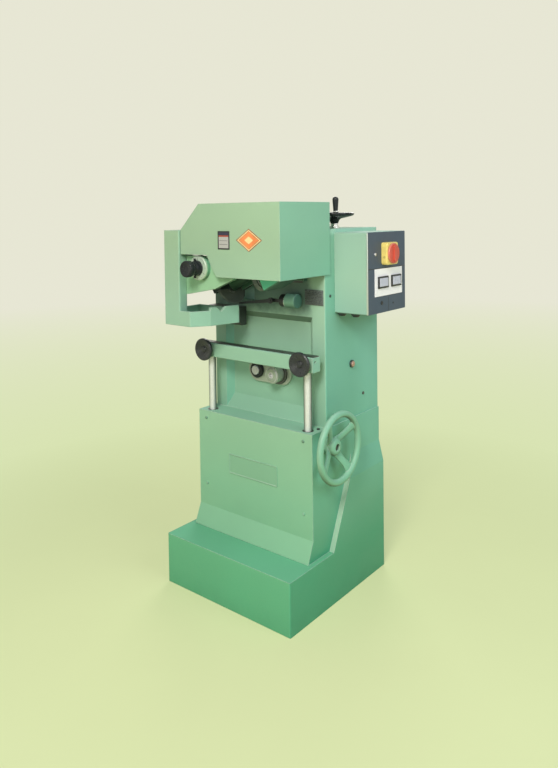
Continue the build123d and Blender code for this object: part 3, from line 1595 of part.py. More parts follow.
for name, y in zip(("start", "stop"), button_places):
    with BuildPart() as push_button:
        with BuildSketch(Plane.YZ.offset(bezel_face + button_proud - button_depth)):
            with Locations((y, button_z)):
                RectangleRounded(button_width - 2 * slide_gap, button_height - 2 * slide_gap, 2)
        extrude(amount=button_depth)
        chamfer(push_button.faces().sort_by(Axis.X)[-1].edges(), length=1)
    push_button.part.label = f"{name}_button"
    export_step(push_button.part, f"parts/{name}_button.step")

# Cable glands under the electric box
with BuildPart() as cable_glands:
    for x, y in gland_places:
        gland_section = Plane(origin=(x, y, electric_bottom), x_dir=(1, 0, 0), z_dir=(0, -1, 0))
        with BuildSketch(gland_section):
            Polygon(
                (0, -gland_length),
                (gland_end_radius, -gland_length),
                (gland_radius, -gland_rim),
                (gland_radius, 0),
                (0, 0),
                align=None,
            )
        revolve(axis=Axis((x, y, 0), (0, 0, 1)))
        rod_along_z(x, y, electric_bottom, electric_bottom + 10.0, gland_radius - 4.0)
cable_glands.part.label = "cable_glands"
export_step(cable_glands.part, "parts/cable_glands.step")

# Crank on the column's top: bearing, lead screw, wheel and turning handle
hub_bottom = column_top + crank_hub_rise
with BuildPart() as crank_bearing:
    rod_along_z(crank_x, crank_y, column_top, column_top + crank_flange, crank_flange_radius)
    rod_along_z(crank_x, crank_y, column_top + crank_flange, hub_bottom - face_gap, crank_boss_radius)
    rod_along_z(crank_x, crank_y, column_top - frame_wall, column_top, lead_screw_radius + 4.0 - seat_gap)
    rod_along_z(
        crank_x,
        crank_y,
        column_top - frame_wall,
        hub_bottom,
        lead_screw_radius + running_gap,
        mode=Mode.SUBTRACT,
    )
crank_bearing.part.label = "crank_bearing"
export_step(crank_bearing.part, "parts/crank_bearing.step")

with BuildPart() as lead_screw:
    rod_along_z(crank_x, crank_y, screw_bottom, crank_hub_top - 4.0, lead_screw_radius)
    collar_top = column_top - frame_wall - face_gap
    rod_along_z(crank_x, crank_y, collar_top - 9.0, collar_top, lead_screw_radius + 6.0)
lead_screw.part.label = "lead_screw"
export_step(lead_screw.part, "parts/lead_screw.step")

rim_low = crank_hub_top - crank_rim_height - 2.0
with BuildPart() as crank_wheel:
    crank_section = Plane(origin=(crank_x, crank_y, 0), x_dir=(1, 0, 0), z_dir=(0, -1, 0))
    with BuildSketch(crank_section):
        Polygon(
            (0, hub_bottom),
            (14, hub_bottom),
            (19, rim_low - 4),
            (24, rim_low + 4),
            (crank_wheel_radius - crank_rim_width, rim_low + 5),
            (crank_wheel_radius - crank_rim_width + 3, rim_low + 1),
            (crank_wheel_radius - 4, rim_low),
            (crank_wheel_radius, rim_low + 5),
            (crank_wheel_radius, rim_low + crank_rim_height - 5),
            (crank_wheel_radius - 4, rim_low + crank_rim_height),
            (crank_wheel_radius - crank_rim_width + 3, rim_low + crank_rim_height - 1),
            (crank_wheel_radius - crank_rim_width, rim_low + crank_rim_height - 5),
            (24, rim_low + crank_rim_height - 5),
            (18, crank_hub_top),
            (0, crank_hub_top),
            align=None,
        )
    revolve(axis=Axis((crank_x, crank_y, 0), (0, 0, 1)))
    rod_along_z(
        crank_x,
        crank_y,
        hub_bottom,
        crank_hub_top - 4.0,
        lead_screw_radius + seat_gap,
        mode=Mode.SUBTRACT,
    )
    rod_along_z(handle_x, handle_y, rim_low + 6.0, crank_hub_top + handle_length - 8.0, handle_pin_radius)
    rod_along_z(handle_x, handle_y, rim_low + 6.0, crank_hub_top, 10.0)
crank_wheel.part.label = "crank_wheel"
export_step(crank_wheel.part, "parts/crank_wheel.step")

handle_low = crank_hub_top + face_gap
handle_top = crank_hub_top + handle_length
with BuildPart() as crank_handle:
    handle_section = Plane(origin=(handle_x, handle_y, 0), x_dir=(1, 0, 0), z_dir=(0, -1, 0))
    with BuildSketch(handle_section):
        with BuildLine():
            Line((0, handle_low), (8, handle_low))
            Line((8, handle_low), (8.5, handle_low + 4))
            Line((8.5, handle_low + 4), (11.5, handle_top - 11.5))
            RadiusArc((11.5, handle_top - 11.5), (0, handle_top), -11.5)
            Line((0, handle_top), (0, handle_low))
        make_face()
    revolve(axis=Axis((handle_x, handle_y, 0), (0, 0, 1)))
    rod_along_z(
        handle_x,
        handle_y,
        handle_low,
        handle_top - 7.0,
        handle_pin_radius + running_gap,
        mode=Mode.SUBTRACT,
    )
crank_handle.part.label = "crank_handle"
export_step(crank_handle.part, "parts/crank_handle.step")

# Plugs on the column's right side and bolts in the pedestal's top
with BuildPart() as frame_plugs:
    for y, z, radius in (
        (column_front + large_plug_setback, pedestal_top + large_plug_rise, large_plug_radius),
        (column_front + low_plug_setback, pedestal_top + low_plug_rise, low_plug_radius),
        ((column_front + electric_front) / 2, tooth_line + high_plug_rise, high_plug_radius),
    ):
        rod_along_x(y, z, column_x, column_x + plug_height, radius)
    for side in (-1, 1):
        rod_along_z(
            side * (pedestal_x - bolt_inset),
            blade_plane + bolt_setback,
            pedestal_top,
            pedestal_top + bolt_head,
            bolt_radius,
        )
frame_plugs.part.label = "frame_plugs"
export_step(frame_plugs.part, "parts/frame_plugs.step")
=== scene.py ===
import json
from math import atan2, cos, degrees, pi, radians, sin

import bmesh
import bpy
from mathutils import Matrix, Vector


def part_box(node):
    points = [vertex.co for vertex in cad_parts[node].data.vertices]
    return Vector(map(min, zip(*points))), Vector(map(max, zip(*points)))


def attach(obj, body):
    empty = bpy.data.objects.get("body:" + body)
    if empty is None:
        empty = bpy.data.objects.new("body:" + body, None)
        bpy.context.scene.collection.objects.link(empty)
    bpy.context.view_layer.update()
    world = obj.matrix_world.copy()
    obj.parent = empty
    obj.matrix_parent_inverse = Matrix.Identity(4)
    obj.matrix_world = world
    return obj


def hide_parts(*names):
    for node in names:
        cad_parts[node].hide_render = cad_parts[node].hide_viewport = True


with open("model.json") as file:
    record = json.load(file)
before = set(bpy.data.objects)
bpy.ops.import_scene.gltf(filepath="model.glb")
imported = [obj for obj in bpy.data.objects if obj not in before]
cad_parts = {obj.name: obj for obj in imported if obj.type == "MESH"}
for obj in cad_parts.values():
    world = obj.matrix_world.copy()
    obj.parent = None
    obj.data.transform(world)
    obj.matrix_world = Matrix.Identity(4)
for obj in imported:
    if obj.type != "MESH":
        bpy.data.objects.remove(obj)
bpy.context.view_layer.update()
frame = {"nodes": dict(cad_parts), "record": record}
nodes = frame["nodes"]
scene = bpy.context.scene
MM = 0.001


# Materials

class Shader:
    """A Principled material with short calls for the nodes that feed it."""

    def __init__(self, name):
        self.material = bpy.data.materials.new(name)
        self.material.use_nodes = True
        self.tree = self.material.node_tree
        self.tree.nodes.clear()
        self.output = self.tree.nodes.new("ShaderNodeOutputMaterial")
        self.bsdf = self.tree.nodes.new("ShaderNodeBsdfPrincipled")
        self.link(self.bsdf.outputs[0], self.output.inputs[0])
        self.coords = self.tree.nodes.new("ShaderNodeTexCoord").outputs["Object"]

    def link(self, start, end):
        self.tree.links.new(start, end)

    def feed(self, socket, value):
        if isinstance(value, bpy.types.NodeSocket):
            self.link(value, socket)
        elif isinstance(value, tuple) and len(value) == 3 and socket.type == "RGBA":
            socket.default_value = (*value, 1.0)
        else:
            socket.default_value = value

    def set(self, name, value):
        self.feed(self.bsdf.inputs[name], value)

    def stretch(self, scale):
        node = self.tree.nodes.new("ShaderNodeMapping")
        self.link(self.coords, node.inputs["Vector"])
        node.inputs["Scale"].default_value = scale
        return node.outputs[0]

    def noise(self, scale, detail=2.0, rough=0.5, coords=None, distortion=0.0):
        node = self.tree.nodes.new("ShaderNodeTexNoise")
        self.link(coords or self.coords, node.inputs["Vector"])
        node.inputs["Scale"].default_value = scale
        node.inputs["Detail"].default_value = detail
        node.inputs["Roughness"].default_value = rough
        node.inputs["Distortion"].default_value = distortion
        return node.outputs["Fac"]

    def cells(self, scale):
        node = self.tree.nodes.new("ShaderNodeTexVoronoi")
        self.link(self.coords, node.inputs["Vector"])
        node.inputs["Scale"].default_value = scale
        return node.outputs["Distance"]

    def remap(self, value, low, high, to_low=0.0, to_high=1.0):
        node = self.tree.nodes.new("ShaderNodeMapRange")
        self.link(value, node.inputs["Value"])
        node.inputs["From Min"].default_value = low
        node.inputs["From Max"].default_value = high
        node.inputs["To Min"].default_value = to_low
        node.inputs["To Max"].default_value = to_high
        return node.outputs[0]

    def mix(self, factor, a, b, blend="MIX"):
        node = self.tree.nodes.new("ShaderNodeMix")
        node.data_type = "RGBA"
        node.blend_type = blend
        self.feed(node.inputs[0], factor)
        self.feed(node.inputs[6], a)
        self.feed(node.inputs[7], b)
        return node.outputs[2]

    def math(self, operation, a, b=0.0):
        node = self.tree.nodes.new("ShaderNodeMath")
        node.operation = operation
        self.feed(node.inputs[0], a)
        self.feed(node.inputs[1], b)
        return node.outputs[0]

    def product(self, first, *others):
        for other in others:
            first = self.math("MULTIPLY", first, other)
        return first

    def part_of(self, vector, axis):
        node = self.tree.nodes.new("ShaderNodeSeparateXYZ")
        self.link(vector, node.inputs[0])
        return node.outputs[axis]

    def place(self, axis):
        return self.part_of(self.coords, axis)

    def height(self):
        return self.place("Z")

    def facing(self, axis):
        """Part of the surface's own normal along an axis."""
        return self.part_of(self.tree.nodes.new("ShaderNodeNewGeometry").outputs["Normal"], axis)

    def by_height(self, stops):
        """Colour that changes with the height in metres, along (height, colour) stops."""
        node = self.tree.nodes.new("ShaderNodeValToRGB")
        top = stops[-1][0]
        self.link(self.math("DIVIDE", self.height(), top), node.inputs[0])
        ramp = node.color_ramp.elements
        while len(ramp) < len(stops):
            ramp.new(0.5)
        for element, (height, colour) in zip(ramp, stops):
            element.position = height / top
            element.color = (*colour, 1.0)
        return node.outputs[0]

    def round_edges(self, radius):
        """Rounded-edge normal, and how far it turns from the face: the share of edge in each point."""
        bevel = self.tree.nodes.new("ShaderNodeBevel")
        bevel.samples = 4
        bevel.inputs["Radius"].default_value = radius
        geometry = self.tree.nodes.new("ShaderNodeNewGeometry")
        dot = self.tree.nodes.new("ShaderNodeVectorMath")
        dot.operation = "DOT_PRODUCT"
        self.link(bevel.outputs[0], dot.inputs[0])
        self.link(geometry.outputs["Normal"], dot.inputs[1])
        return bevel.outputs[0], self.remap(dot.outputs["Value"], 0.99, 0.8)

    def bump(self, height, strength, distance, normal=None):
        node = self.tree.nodes.new("ShaderNodeBump")
        node.inputs["Strength"].default_value = strength
        node.inputs["Distance"].default_value = distance
        self.link(height, node.inputs["Height"])
        if normal is not None:
            self.link(normal, node.inputs["Normal"])
        self.link(node.outputs[0], self.bsdf.inputs["Normal"])


def scaled(colour, factor):
    return tuple(min(1.0, c * factor) for c in colour)


# Painted light and shade on enamel: painted shade on right faces, painted light on tops and high up, then
# those of the frame alone: painted shade below the hood, painted light on the crown and rear, a painted
# highlight on the leaning faces
RIGHT_SIDE_SHADE = (0.62, 0.91, 0.93)
TOP_LIGHT = (0.46, 0.88, 0.72)
UPPER_SIDE_LIGHT = (0.600, 1.000, 0.900)
HOOD_SHADE = (0.092, 0.158, 0.136)
CROWN_LIGHT = (0.560, 0.860, 0.740)
REAR_SIDE_LIGHT = (0.420, 0.950, 0.850)
LEAN_HIGHLIGHT = (0.480, 0.620, 0.500)


def unworn_step(s):
    """1 on the step in the frame's right side, whose edge gets neither wear nor painted highlight, and 0
    elsewhere.
    """
    above = s.remap(s.height(), 0.600, 0.615)
    below = s.remap(s.height(), 0.668, 0.655)
    return s.product(above, below, s.remap(s.place("X"), 0.266, 0.272))


def frame_marks(s, tone, flank):
    """Painted light and shade of the frame alone: painted shade on the column's front below the hood, and
    three places of painted light.

    These are the crown and the rear of the right side, and a painted highlight on the leaning front faces of
    the flanks.
    """
    # Painted shade on the column's front below the hood, with a ragged edge
    spread = s.remap(s.noise(26.0, 4.0, 0.6), 0.3, 0.7, -0.012, 0.012)
    above = s.remap(s.math("ADD", s.height(), spread), 1.030, 1.075)
    inside = s.remap(s.math("ADD", s.place("X"), spread), 0.222, 0.196)
    front = s.remap(s.facing("Y"), -0.3, -0.8)
    tone = s.mix(s.product(above, inside, front, 0.86), tone, HOOD_SHADE)
    # Painted light on the crown of the right side
    crown = s.product(flank, s.remap(s.height(), 1.338, 1.350, 0.0, 0.33))
    tone = s.mix(crown, tone, CROWN_LIGHT)
    # Painted light on the rear of the right side
    rear = s.product(
        flank, s.remap(s.place("Y"), 0.12, 0.23, 0.0, 0.12), s.remap(s.height(), 0.30, 0.45),
        s.remap(s.height(), 1.05, 0.95),
    )
    tone = s.mix(rear, tone, REAR_SIDE_LIGHT)
    # Painted highlight on the leaning front faces of the flanks
    leaning = s.product(
        s.remap(s.facing("Z"), 0.05, 0.2), s.remap(s.facing("Z"), 0.9, 0.6),
        s.remap(s.facing("Y"), -0.3, -0.7), s.remap(s.height(), 0.62, 0.56), 0.60,
    )
    return s.mix(leaning, tone, LEAN_HIGHLIGHT)


def enamel(name, colour, stops=None, cast=False, dust=False, side=RIGHT_SIDE_SHADE, underside_shade=None):
    """Machine enamel that drifts in tone, with orange peel and paler edges: partly wear, partly a painted
    highlight.

    With stops its colour changes with the height, paler higher up as a painted light from above. Side tints
    the faces to the right with painted shade, which grows towards the floor; with stops they get painted
    light high up. Tops get painted light and a rougher surface, undersides painted shade, in the colour given
    for it if there is one. Cast is for rougher castings, and the frame's flag adds the frame's own painted
    light and shade.
    """
    s = Shader(name)
    base = s.by_height(stops) if stops else colour
    drift = s.remap(s.noise(2.3, 3.0), 0.35, 0.65, 0.95, 1.03)
    tone = s.mix(1.0, base, drift, "MULTIPLY")
    speck = s.remap(s.noise(420.0, 2.0), 0.3, 0.7)
    tone = s.mix(s.product(speck, 0.07), tone, scaled(colour, 1.25))
    normal, edge = s.round_edges(0.0042 if cast else 0.0030)
    # Paler edges: patchy wear and a painted highlight
    edge_wear_and_highlight = s.product(edge, s.remap(s.noise(38.0, 3.0, 0.65), 0.3, 0.75, 0.45, 1.0))
    if dust:
        edge_wear_and_highlight = s.product(edge_wear_and_highlight, s.remap(unworn_step(s), 0.0, 1.0, 1.0, 0.05))
    tone = s.mix(edge_wear_and_highlight, tone, tuple(0.62 * c + 0.36 for c in colour))
    smears = s.remap(s.noise(14.0, 4.0, 0.6), 0.3, 0.7, 0.0, 0.3)
    grime = s.product(s.remap(s.height(), 0.07, 0.0), smears)
    tone = s.mix(grime, tone, scaled(stops[0][1] if stops else colour, 0.6))
    # Painted shade on the faces to the right, more of it towards the floor, and painted light on them high up
    flank = s.remap(s.facing("X"), 0.3, 0.9)
    tone = s.mix(flank, tone, s.mix(1.0, tone, side, "MULTIPLY"))
    low_side_shade = s.product(flank, s.remap(s.height(), 0.42, 0.12, 0.0, 0.15))
    tone = s.mix(low_side_shade, tone, scaled(colour, 0.1))
    if stops:
        high_side_light = s.product(flank, s.remap(s.height(), 1.14, 1.38, 0.0, 0.10))
        tone = s.mix(high_side_light, tone, UPPER_SIDE_LIGHT)
    # Painted light on tops, stronger higher up; tops also get rougher
    top = s.remap(s.facing("Z"), 0.6, 0.95)
    top_light = s.product(top, s.remap(s.height(), 0.25, 0.45, 0.02, 0.14))
    tone = s.mix(top_light, tone, TOP_LIGHT)
    # Painted shade on undersides
    shade = s.remap(s.facing("Z"), -0.15, -0.75, 0.0, 0.94 if underside_shade else 0.80)
    tone = s.mix(shade, tone, underside_shade or scaled(colour, 0.22))
    if dust:
        tone = frame_marks(s, tone, flank)
    s.set("Base Color", tone)
    gloss = s.remap(s.noise(9.0, 3.0), 0.3, 0.7, 0.36, 0.50)
    s.set("Roughness", s.math("ADD", gloss, s.product(top, 0.35)))
    s.set("Specular IOR Level", 0.40)
    peel = s.noise(150.0 if cast else 260.0, 2.0 if cast else 1.0, 0.55)
    s.bump(peel, 0.16 if cast else 0.07, 0.0012 if cast else 0.0006, normal)
    return s.material


def metal(name, colour, rough, grain=(500.0, 500.0, 500.0), stain=0.25, metallic=1.0):
    """Bare metal with stains and tool marks, as fine along each axis as grain says."""
    s = Shader(name)
    marks = s.noise(1.0, 3.0, 0.6, coords=s.stretch(grain))
    patches = s.remap(s.noise(17.0, 4.0, 0.6), 0.35, 0.7)
    s.set("Base Color", s.mix(s.product(patches, stain), colour, scaled(colour, 0.62)))
    s.set("Metallic", metallic)
    s.set("Roughness", s.remap(marks, 0.25, 0.75, rough * 0.7, rough * 1.35))
    normal, _ = s.round_edges(0.0006)
    s.bump(marks, 0.12, 0.0002, normal)
    return s.material


def ground_rod(name, dark, bright, towards_light, rough):
    """Ground steel bar along Z, with a painted reflection: bright on two opposite sides, darker between them.
    """
    s = Shader(name)
    x, y = towards_light
    across = s.math("ADD", s.product(s.facing("X"), x), s.product(s.facing("Y"), y))
    reflection_band = s.remap(s.math("ABSOLUTE", across), 0.52, 0.97)
    marks = s.noise(1.0, 3.0, 0.6, coords=s.stretch((900.0, 900.0, 12.0)))
    tone = s.mix(reflection_band, dark, bright)
    s.set("Base Color", s.mix(s.remap(marks, 0.2, 0.8, 0.0, 0.10), tone, scaled(dark, 0.8)))
    s.set("Metallic", 0.30)
    s.set("Roughness", s.remap(marks, 0.25, 0.75, rough * 0.8, rough * 1.25))
    s.bump(marks, 0.10, 0.0002)
    return s.material


def plastic(name, colour, rough, variation=0.10, shine=0.5):
    """Moulded plastic: slight flow marks, a fine grain and softly rounded edges, painted paler as a
    highlight.
    """
    s = Shader(name)
    flow = s.remap(s.noise(24.0, 3.0, 0.55, distortion=0.4), 0.3, 0.7)
    tone = s.mix(flow, scaled(colour, 1.0 - variation), scaled(colour, 1.0 + variation))
    normal, edge = s.round_edges(0.0010)
    s.set("Base Color", s.mix(s.product(edge, 0.25), tone, tuple(0.8 * c + 0.1 for c in colour)))
    s.set("Roughness", s.remap(s.noise(60.0, 3.0), 0.3, 0.7, rough * 0.8, rough * 1.2))
    s.set("Specular IOR Level", shine)
    s.bump(s.noise(900.0, 1.0), 0.05, 0.0004, normal)
    return s.material


def turned_plastic(name, colour, across, up):
    """Black plastic turned on its face: fine rings about an axis along Y at (+-across, up), in metres."""
    s = Shader(name)
    x = s.math("SUBTRACT", s.math("ABSOLUTE", s.place("X")), across)
    z = s.math("SUBTRACT", s.height(), up)
    radius = s.math("SQRT", s.math("ADD", s.product(x, x), s.product(z, z)))
    rings = s.math("SINE", s.product(radius, 2600.0))
    wear = s.remap(s.noise(60.0, 4.0, 0.6), 0.3, 0.7)
    tone = s.mix(wear, scaled(colour, 0.75), scaled(colour, 1.3))
    normal, edge = s.round_edges(0.0012)
    # Paler edges: a painted highlight
    s.set("Base Color", s.mix(s.product(edge, 0.3), tone, tuple(c + 0.06 for c in colour)))
    s.set("Roughness", s.remap(s.noise(90.0, 3.0), 0.3, 0.7, 0.24, 0.36))
    s.bump(rings, 0.35, 0.0003, normal)
    return s.material


def rubber(name, colour):
    """Coarse, blotched rubber."""
    s = Shader(name)
    grains = s.remap(s.cells(260.0), 0.1, 0.6)
    blotch = s.remap(s.noise(140.0, 4.0, 0.7), 0.38, 0.62)
    tone = s.mix(blotch, scaled(colour, 0.6), scaled(colour, 2.2))
    s.set("Base Color", s.mix(s.product(grains, 0.35), tone, scaled(colour, 2.8)))
    s.set("Roughness", 0.82)
    s.bump(s.noise(320.0, 3.0, 0.7), 0.6, 0.0012)
    return s.material


def abrasive(name, colour):
    """Gritty grinding wheel, darker where it is glazed."""
    s = Shader(name)
    grit = s.cells(900.0)
    tone = s.mix(s.remap(grit, 0.05, 0.5), scaled(colour, 1.7), scaled(colour, 0.6))
    glaze = s.remap(s.noise(30.0, 4.0), 0.4, 0.7)
    s.set("Base Color", s.mix(s.product(glaze, 0.4), tone, scaled(colour, 0.45)))
    s.set("Roughness", 0.9)
    s.bump(grit, 0.9, 0.0006)
    return s.material


# Greens of the enamel; the height stops grow paler higher up, a painted light from above
GREEN = (0.318, 0.466, 0.316)
GREENS = (
    (0.0, (0.092, 0.395, 0.222)), (0.17, (0.112, 0.425, 0.245)), (0.32, (0.225, 0.470, 0.305)),
    (0.80, (0.278, 0.505, 0.380)), (1.08, (0.320, 0.505, 0.380)), (1.32, GREEN),
)
COVER_GREENS = (
    (0.0, (0.258, 0.535, 0.335)), (0.19, (0.258, 0.535, 0.335)), (0.36, (0.245, 0.525, 0.350)),
    (0.64, (0.298, 0.530, 0.365)),
)
BOX_GREENS = (
    (0.0, (0.272, 0.465, 0.388)), (1.06, (0.272, 0.465, 0.388)), (1.18, (0.315, 0.490, 0.395)),
    (1.32, (0.308, 0.471, 0.385)),
)
# In this table, side sets how much painted shade an enamel takes on right faces, and the motor's second
# colour is its painted shade underneath
finish = {
    "green_enamel": enamel("green_enamel", GREEN, GREENS),
    "cover_enamel": enamel("cover_enamel", GREEN, COVER_GREENS),
    "box_enamel": enamel("box_enamel", GREEN, BOX_GREENS),
    "motor_enamel": enamel("motor_enamel", (0.120, 0.560, 0.360), cast=True, underside_shade=(0.030, 0.044, 0.038)),
    "wheel_enamel": enamel("wheel_enamel", GREEN, GREENS, cast=True, side=(0.80, 0.97, 0.95)),
    "feed_enamel": enamel("feed_enamel", (0.220, 0.440, 0.340), cast=True, side=(0.32, 0.40, 0.40)),
    "frame_enamel": enamel("frame_enamel", GREEN, GREENS, cast=True, dust=True),
    "arm_enamel": enamel("arm_enamel", GREEN, GREENS, cast=True, side=(0.85, 0.97, 1.0)),
    "light_green_enamel": enamel("light_green_enamel", (0.310, 0.540, 0.335), cast=True),
    # Dark green of the parts under the hood, darkened further as painted shade
    "dark_green_enamel": enamel("dark_green_enamel", (0.052, 0.130, 0.082), cast=True),
    "screw_enamel": enamel("screw_enamel", (0.150, 0.300, 0.200)),
    "dark_enamel": enamel("dark_enamel", (0.030, 0.036, 0.034), cast=True),
    "panel_enamel": enamel("panel_enamel", (0.090, 0.090, 0.130)),
    "dusty_sheet": enamel("dusty_sheet", (0.280, 0.480, 0.400)),
    "steel": metal("steel", (0.52, 0.52, 0.51), 0.34),
    "rod_steel": ground_rod("rod_steel", (0.130, 0.160, 0.135), (0.80, 0.81, 0.80), (0.53, -0.85), 0.26),
    "turned_steel": metal(
        "turned_steel", (0.58, 0.59, 0.60), 0.45, grain=(300.0, 900.0, 300.0), stain=0.5, metallic=0.5
    ),
    "flange_steel": metal(
        "flange_steel", (0.42, 0.48, 0.40), 0.50, grain=(260.0, 260.0, 260.0), stain=0.6, metallic=0.4
    ),
    "ring_steel": metal(
        "ring_steel", (0.33, 0.39, 0.32), 0.50, grain=(260.0, 260.0, 260.0), stain=0.7, metallic=0.4
    ),
    "dark_steel": metal("dark_steel", (0.13, 0.13, 0.13), 0.42),
    "chrome": metal("chrome", (0.80, 0.80, 0.82), 0.18, grain=(700.0, 700.0, 14.0), stain=0.12),
    "dial_silver": metal(
        "dial_silver", (0.50, 0.62, 0.50), 0.50, grain=(600.0, 600.0, 600.0), stain=0.2, metallic=0.2
    ),
    "badge_silver": metal("badge_silver", (0.66, 0.65, 0.66), 0.36, grain=(30.0, 400.0, 900.0), stain=0.15),
    "trim": metal("trim", (0.66, 0.70, 0.68), 0.40, grain=(400.0, 400.0, 10.0), stain=0.1),
    "cap_bronze": metal("cap_bronze", (0.52, 0.34, 0.27), 0.42, stain=0.4, metallic=0.6),
    "black_bakelite": plastic("black_bakelite", (0.015, 0.018, 0.021), 0.26, variation=0.3, shine=0.28),
    "turned_bakelite": turned_plastic("turned_bakelite", (0.022, 0.025, 0.029), 0.237, 0.888),
    "black_plastic": plastic("black_plastic", (0.016, 0.018, 0.019), 0.42, variation=0.25),
    "yellow_plastic": plastic("yellow_plastic", (0.79, 0.620, 0.185), 0.38),
    "red_plastic": plastic("red_plastic", (0.63, 0.092, 0.058), 0.36),
    "rim_red": plastic("rim_red", (0.70, 0.21, 0.16), 0.36),
    "white_plastic": plastic("white_plastic", (0.98, 0.95, 1.0), 0.42, variation=0.02),
    "button_plastic": plastic("button_plastic", (0.55, 0.56, 0.68), 0.30, variation=0.05),
    "badge_red": plastic("badge_red", (0.60, 0.100, 0.045), 0.40, variation=0.12),
    "badge_brown": plastic("badge_brown", (0.300, 0.060, 0.025), 0.40, variation=0.12),
    "badge_orange": plastic("badge_orange", (0.800, 0.250, 0.085), 0.42, variation=0.14),
    "badge_cream": plastic("badge_cream", (0.850, 0.640, 0.320), 0.42, variation=0.08),
    "badge_navy": plastic("badge_navy", (0.030, 0.028, 0.060), 0.42, variation=0.2),
    "abrasive": abrasive("abrasive", (0.200, 0.230, 0.205)),
    "rubber": rubber("rubber", (0.070, 0.082, 0.076)),
}

# Finish of each node whose slot is too general
special = {
    "front_cover": "cover_enamel", "grinding_motor": "motor_enamel", "machine_frame": "frame_enamel",
    "c_arm": "arm_enamel", "handwheel": "wheel_enamel", "support_bar": "arm_enamel",
    "left_guide_rod": "rod_steel", "right_guide_rod": "rod_steel", "head_guide": "dark_steel",
    "frame_plugs": "dark_steel", "dial_disc": "dial_silver", "feed_cylinder": "feed_enamel",
    "feed_plunger": "black_plastic", "feed_pawl": "black_plastic", "crank_bearing": "chrome",
    "left_clamp_knob": "turned_bakelite", "right_clamp_knob": "turned_bakelite", "camshaft": "turned_steel",
    # Dark steel for the rod bushes, partly painted shade at the rods' feet
    "pitch_spindle": "turned_steel", "drive_flange": "flange_steel", "rod_bushes": "dark_steel",
    "cross_shaft": "dark_steel", "electric_box": "box_enamel",
}
for part in frame["record"]["subparts"]:
    cad = nodes[part["node"]]
    cad.data.materials.clear()
    cad.data.materials.append(finish[special.get(part["node"], part["material_slot"])])


# Pieces

def mesh_object(name, bm, materials, body, smooth=35.0):
    """Piece made of bm, with one finish or a list of them, that rides on a body."""
    mesh = bpy.data.meshes.new(name)
    bmesh.ops.recalc_face_normals(bm, faces=bm.faces)
    bm.to_mesh(mesh)
    bm.free()
    for face in mesh.polygons:
        face.use_smooth = True
    mesh.set_sharp_from_angle(angle=radians(smooth))
    piece = bpy.data.objects.new(name, mesh)
    scene.collection.objects.link(piece)
    for item in [materials] if isinstance(materials, str) else materials:
        mesh.materials.append(finish[item])
    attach(piece, body)
    return piece


def add_block(bm, low, high, bevel, segments=2):
    """Box between two corners in mm, with rounded edges."""
    made = bmesh.ops.create_cube(bm, size=1.0)
    for vert in made["verts"]:
        vert.co = Vector([(a + b) / 2 + c * (b - a) for a, b, c in zip(low, high, vert.co)]) * MM
    edges = {e for v in made["verts"] for e in v.link_edges}
    bmesh.ops.bevel(bm, geom=list(edges), offset=bevel * MM, segments=segments, profile=0.6, affect="EDGES")


def add_lathe(bm, profile, matrix, steps=48, index=0, shape=None):
    """Turns (radius, height) points in mm about local Z, then places them with matrix (mm)."""
    rings = []
    for radius, height in profile:
        if radius < 1e-6:
            rings.append([bm.verts.new(matrix @ Vector((0, 0, height)) * MM)])
            continue
        ring = []
        for i in range(steps):
            a = 2 * pi * i / steps
            r = radius if shape is None else radius * shape(a, radius, height)
            ring.append(bm.verts.new(matrix @ Vector((r * cos(a), r * sin(a), height)) * MM))
        rings.append(ring)
    for low, high in zip(rings, rings[1:]):
        for i in range(steps):
            j = (i + 1) % steps
            if len(low) == 1 and len(high) == 1:
                continue
            if len(low) == 1:
                face = bm.faces.new((low[0], high[j], high[i]))
            elif len(high) == 1:
                face = bm.faces.new((low[i], low[j], high[0]))
            else:
                face = bm.faces.new((low[i], low[j], high[j], high[i]))
            face.material_index = index


def towards(point, direction):
    """Matrix in mm that stands local Z along direction at a point."""
    return Matrix.Translation(Vector(point)) @ Vector(direction).to_track_quat("Z", "Y").to_matrix().to_4x4()


def add_frame(bm, outline, width, low, high, place, bevel=0.4, index=0):
    """Raised border along a closed outline of (u, v) points in mm, with chamfered shoulders."""
    def inset(points, amount):
        out = []
        n = len(points)
        for i in range(n):
            p, q, r = (Vector(points[k % n]) for k in (i - 1, i, i + 1))
            d1, d2 = (q - p).normalized(), (r - q).normalized()
            n1, n2 = Vector((-d1.y, d1.x)), Vector((-d2.y, d2.x))
            m = (n1 + n2) / (1 + n1.dot(n2))
            out.append(tuple(q + m * amount))
        return out
    loops = [
        (outline, low), (outline, high - bevel), (inset(outline, bevel), high),
        (inset(outline, width - bevel), high), (inset(outline, width), high - bevel),
        (inset(outline, width), low),
    ]
    rows = [[bm.verts.new(Vector(place(u, v, h)) * MM) for u, v in points] for points, h in loops]
    n = len(outline)
    for a, b in zip(rows, rows[1:]):
        for i in range(n):
            bm.faces.new((a[i], a[(i + 1) % n], b[(i + 1) % n], b[i])).material_index = index


def add_field(bm, outline, low, high, place, index=0):
    """Flat field with upright sides on a closed outline."""
    base = [bm.verts.new(Vector(place(u, v, low)) * MM) for u, v in outline]
    top = [bm.verts.new(Vector(place(u, v, high)) * MM) for u, v in outline]
    n = len(outline)
    bm.faces.new(top).material_index = index
    for i in range(n):
        bm.faces.new((base[i], base[(i + 1) % n], top[(i + 1) % n], top[i])).material_index = index


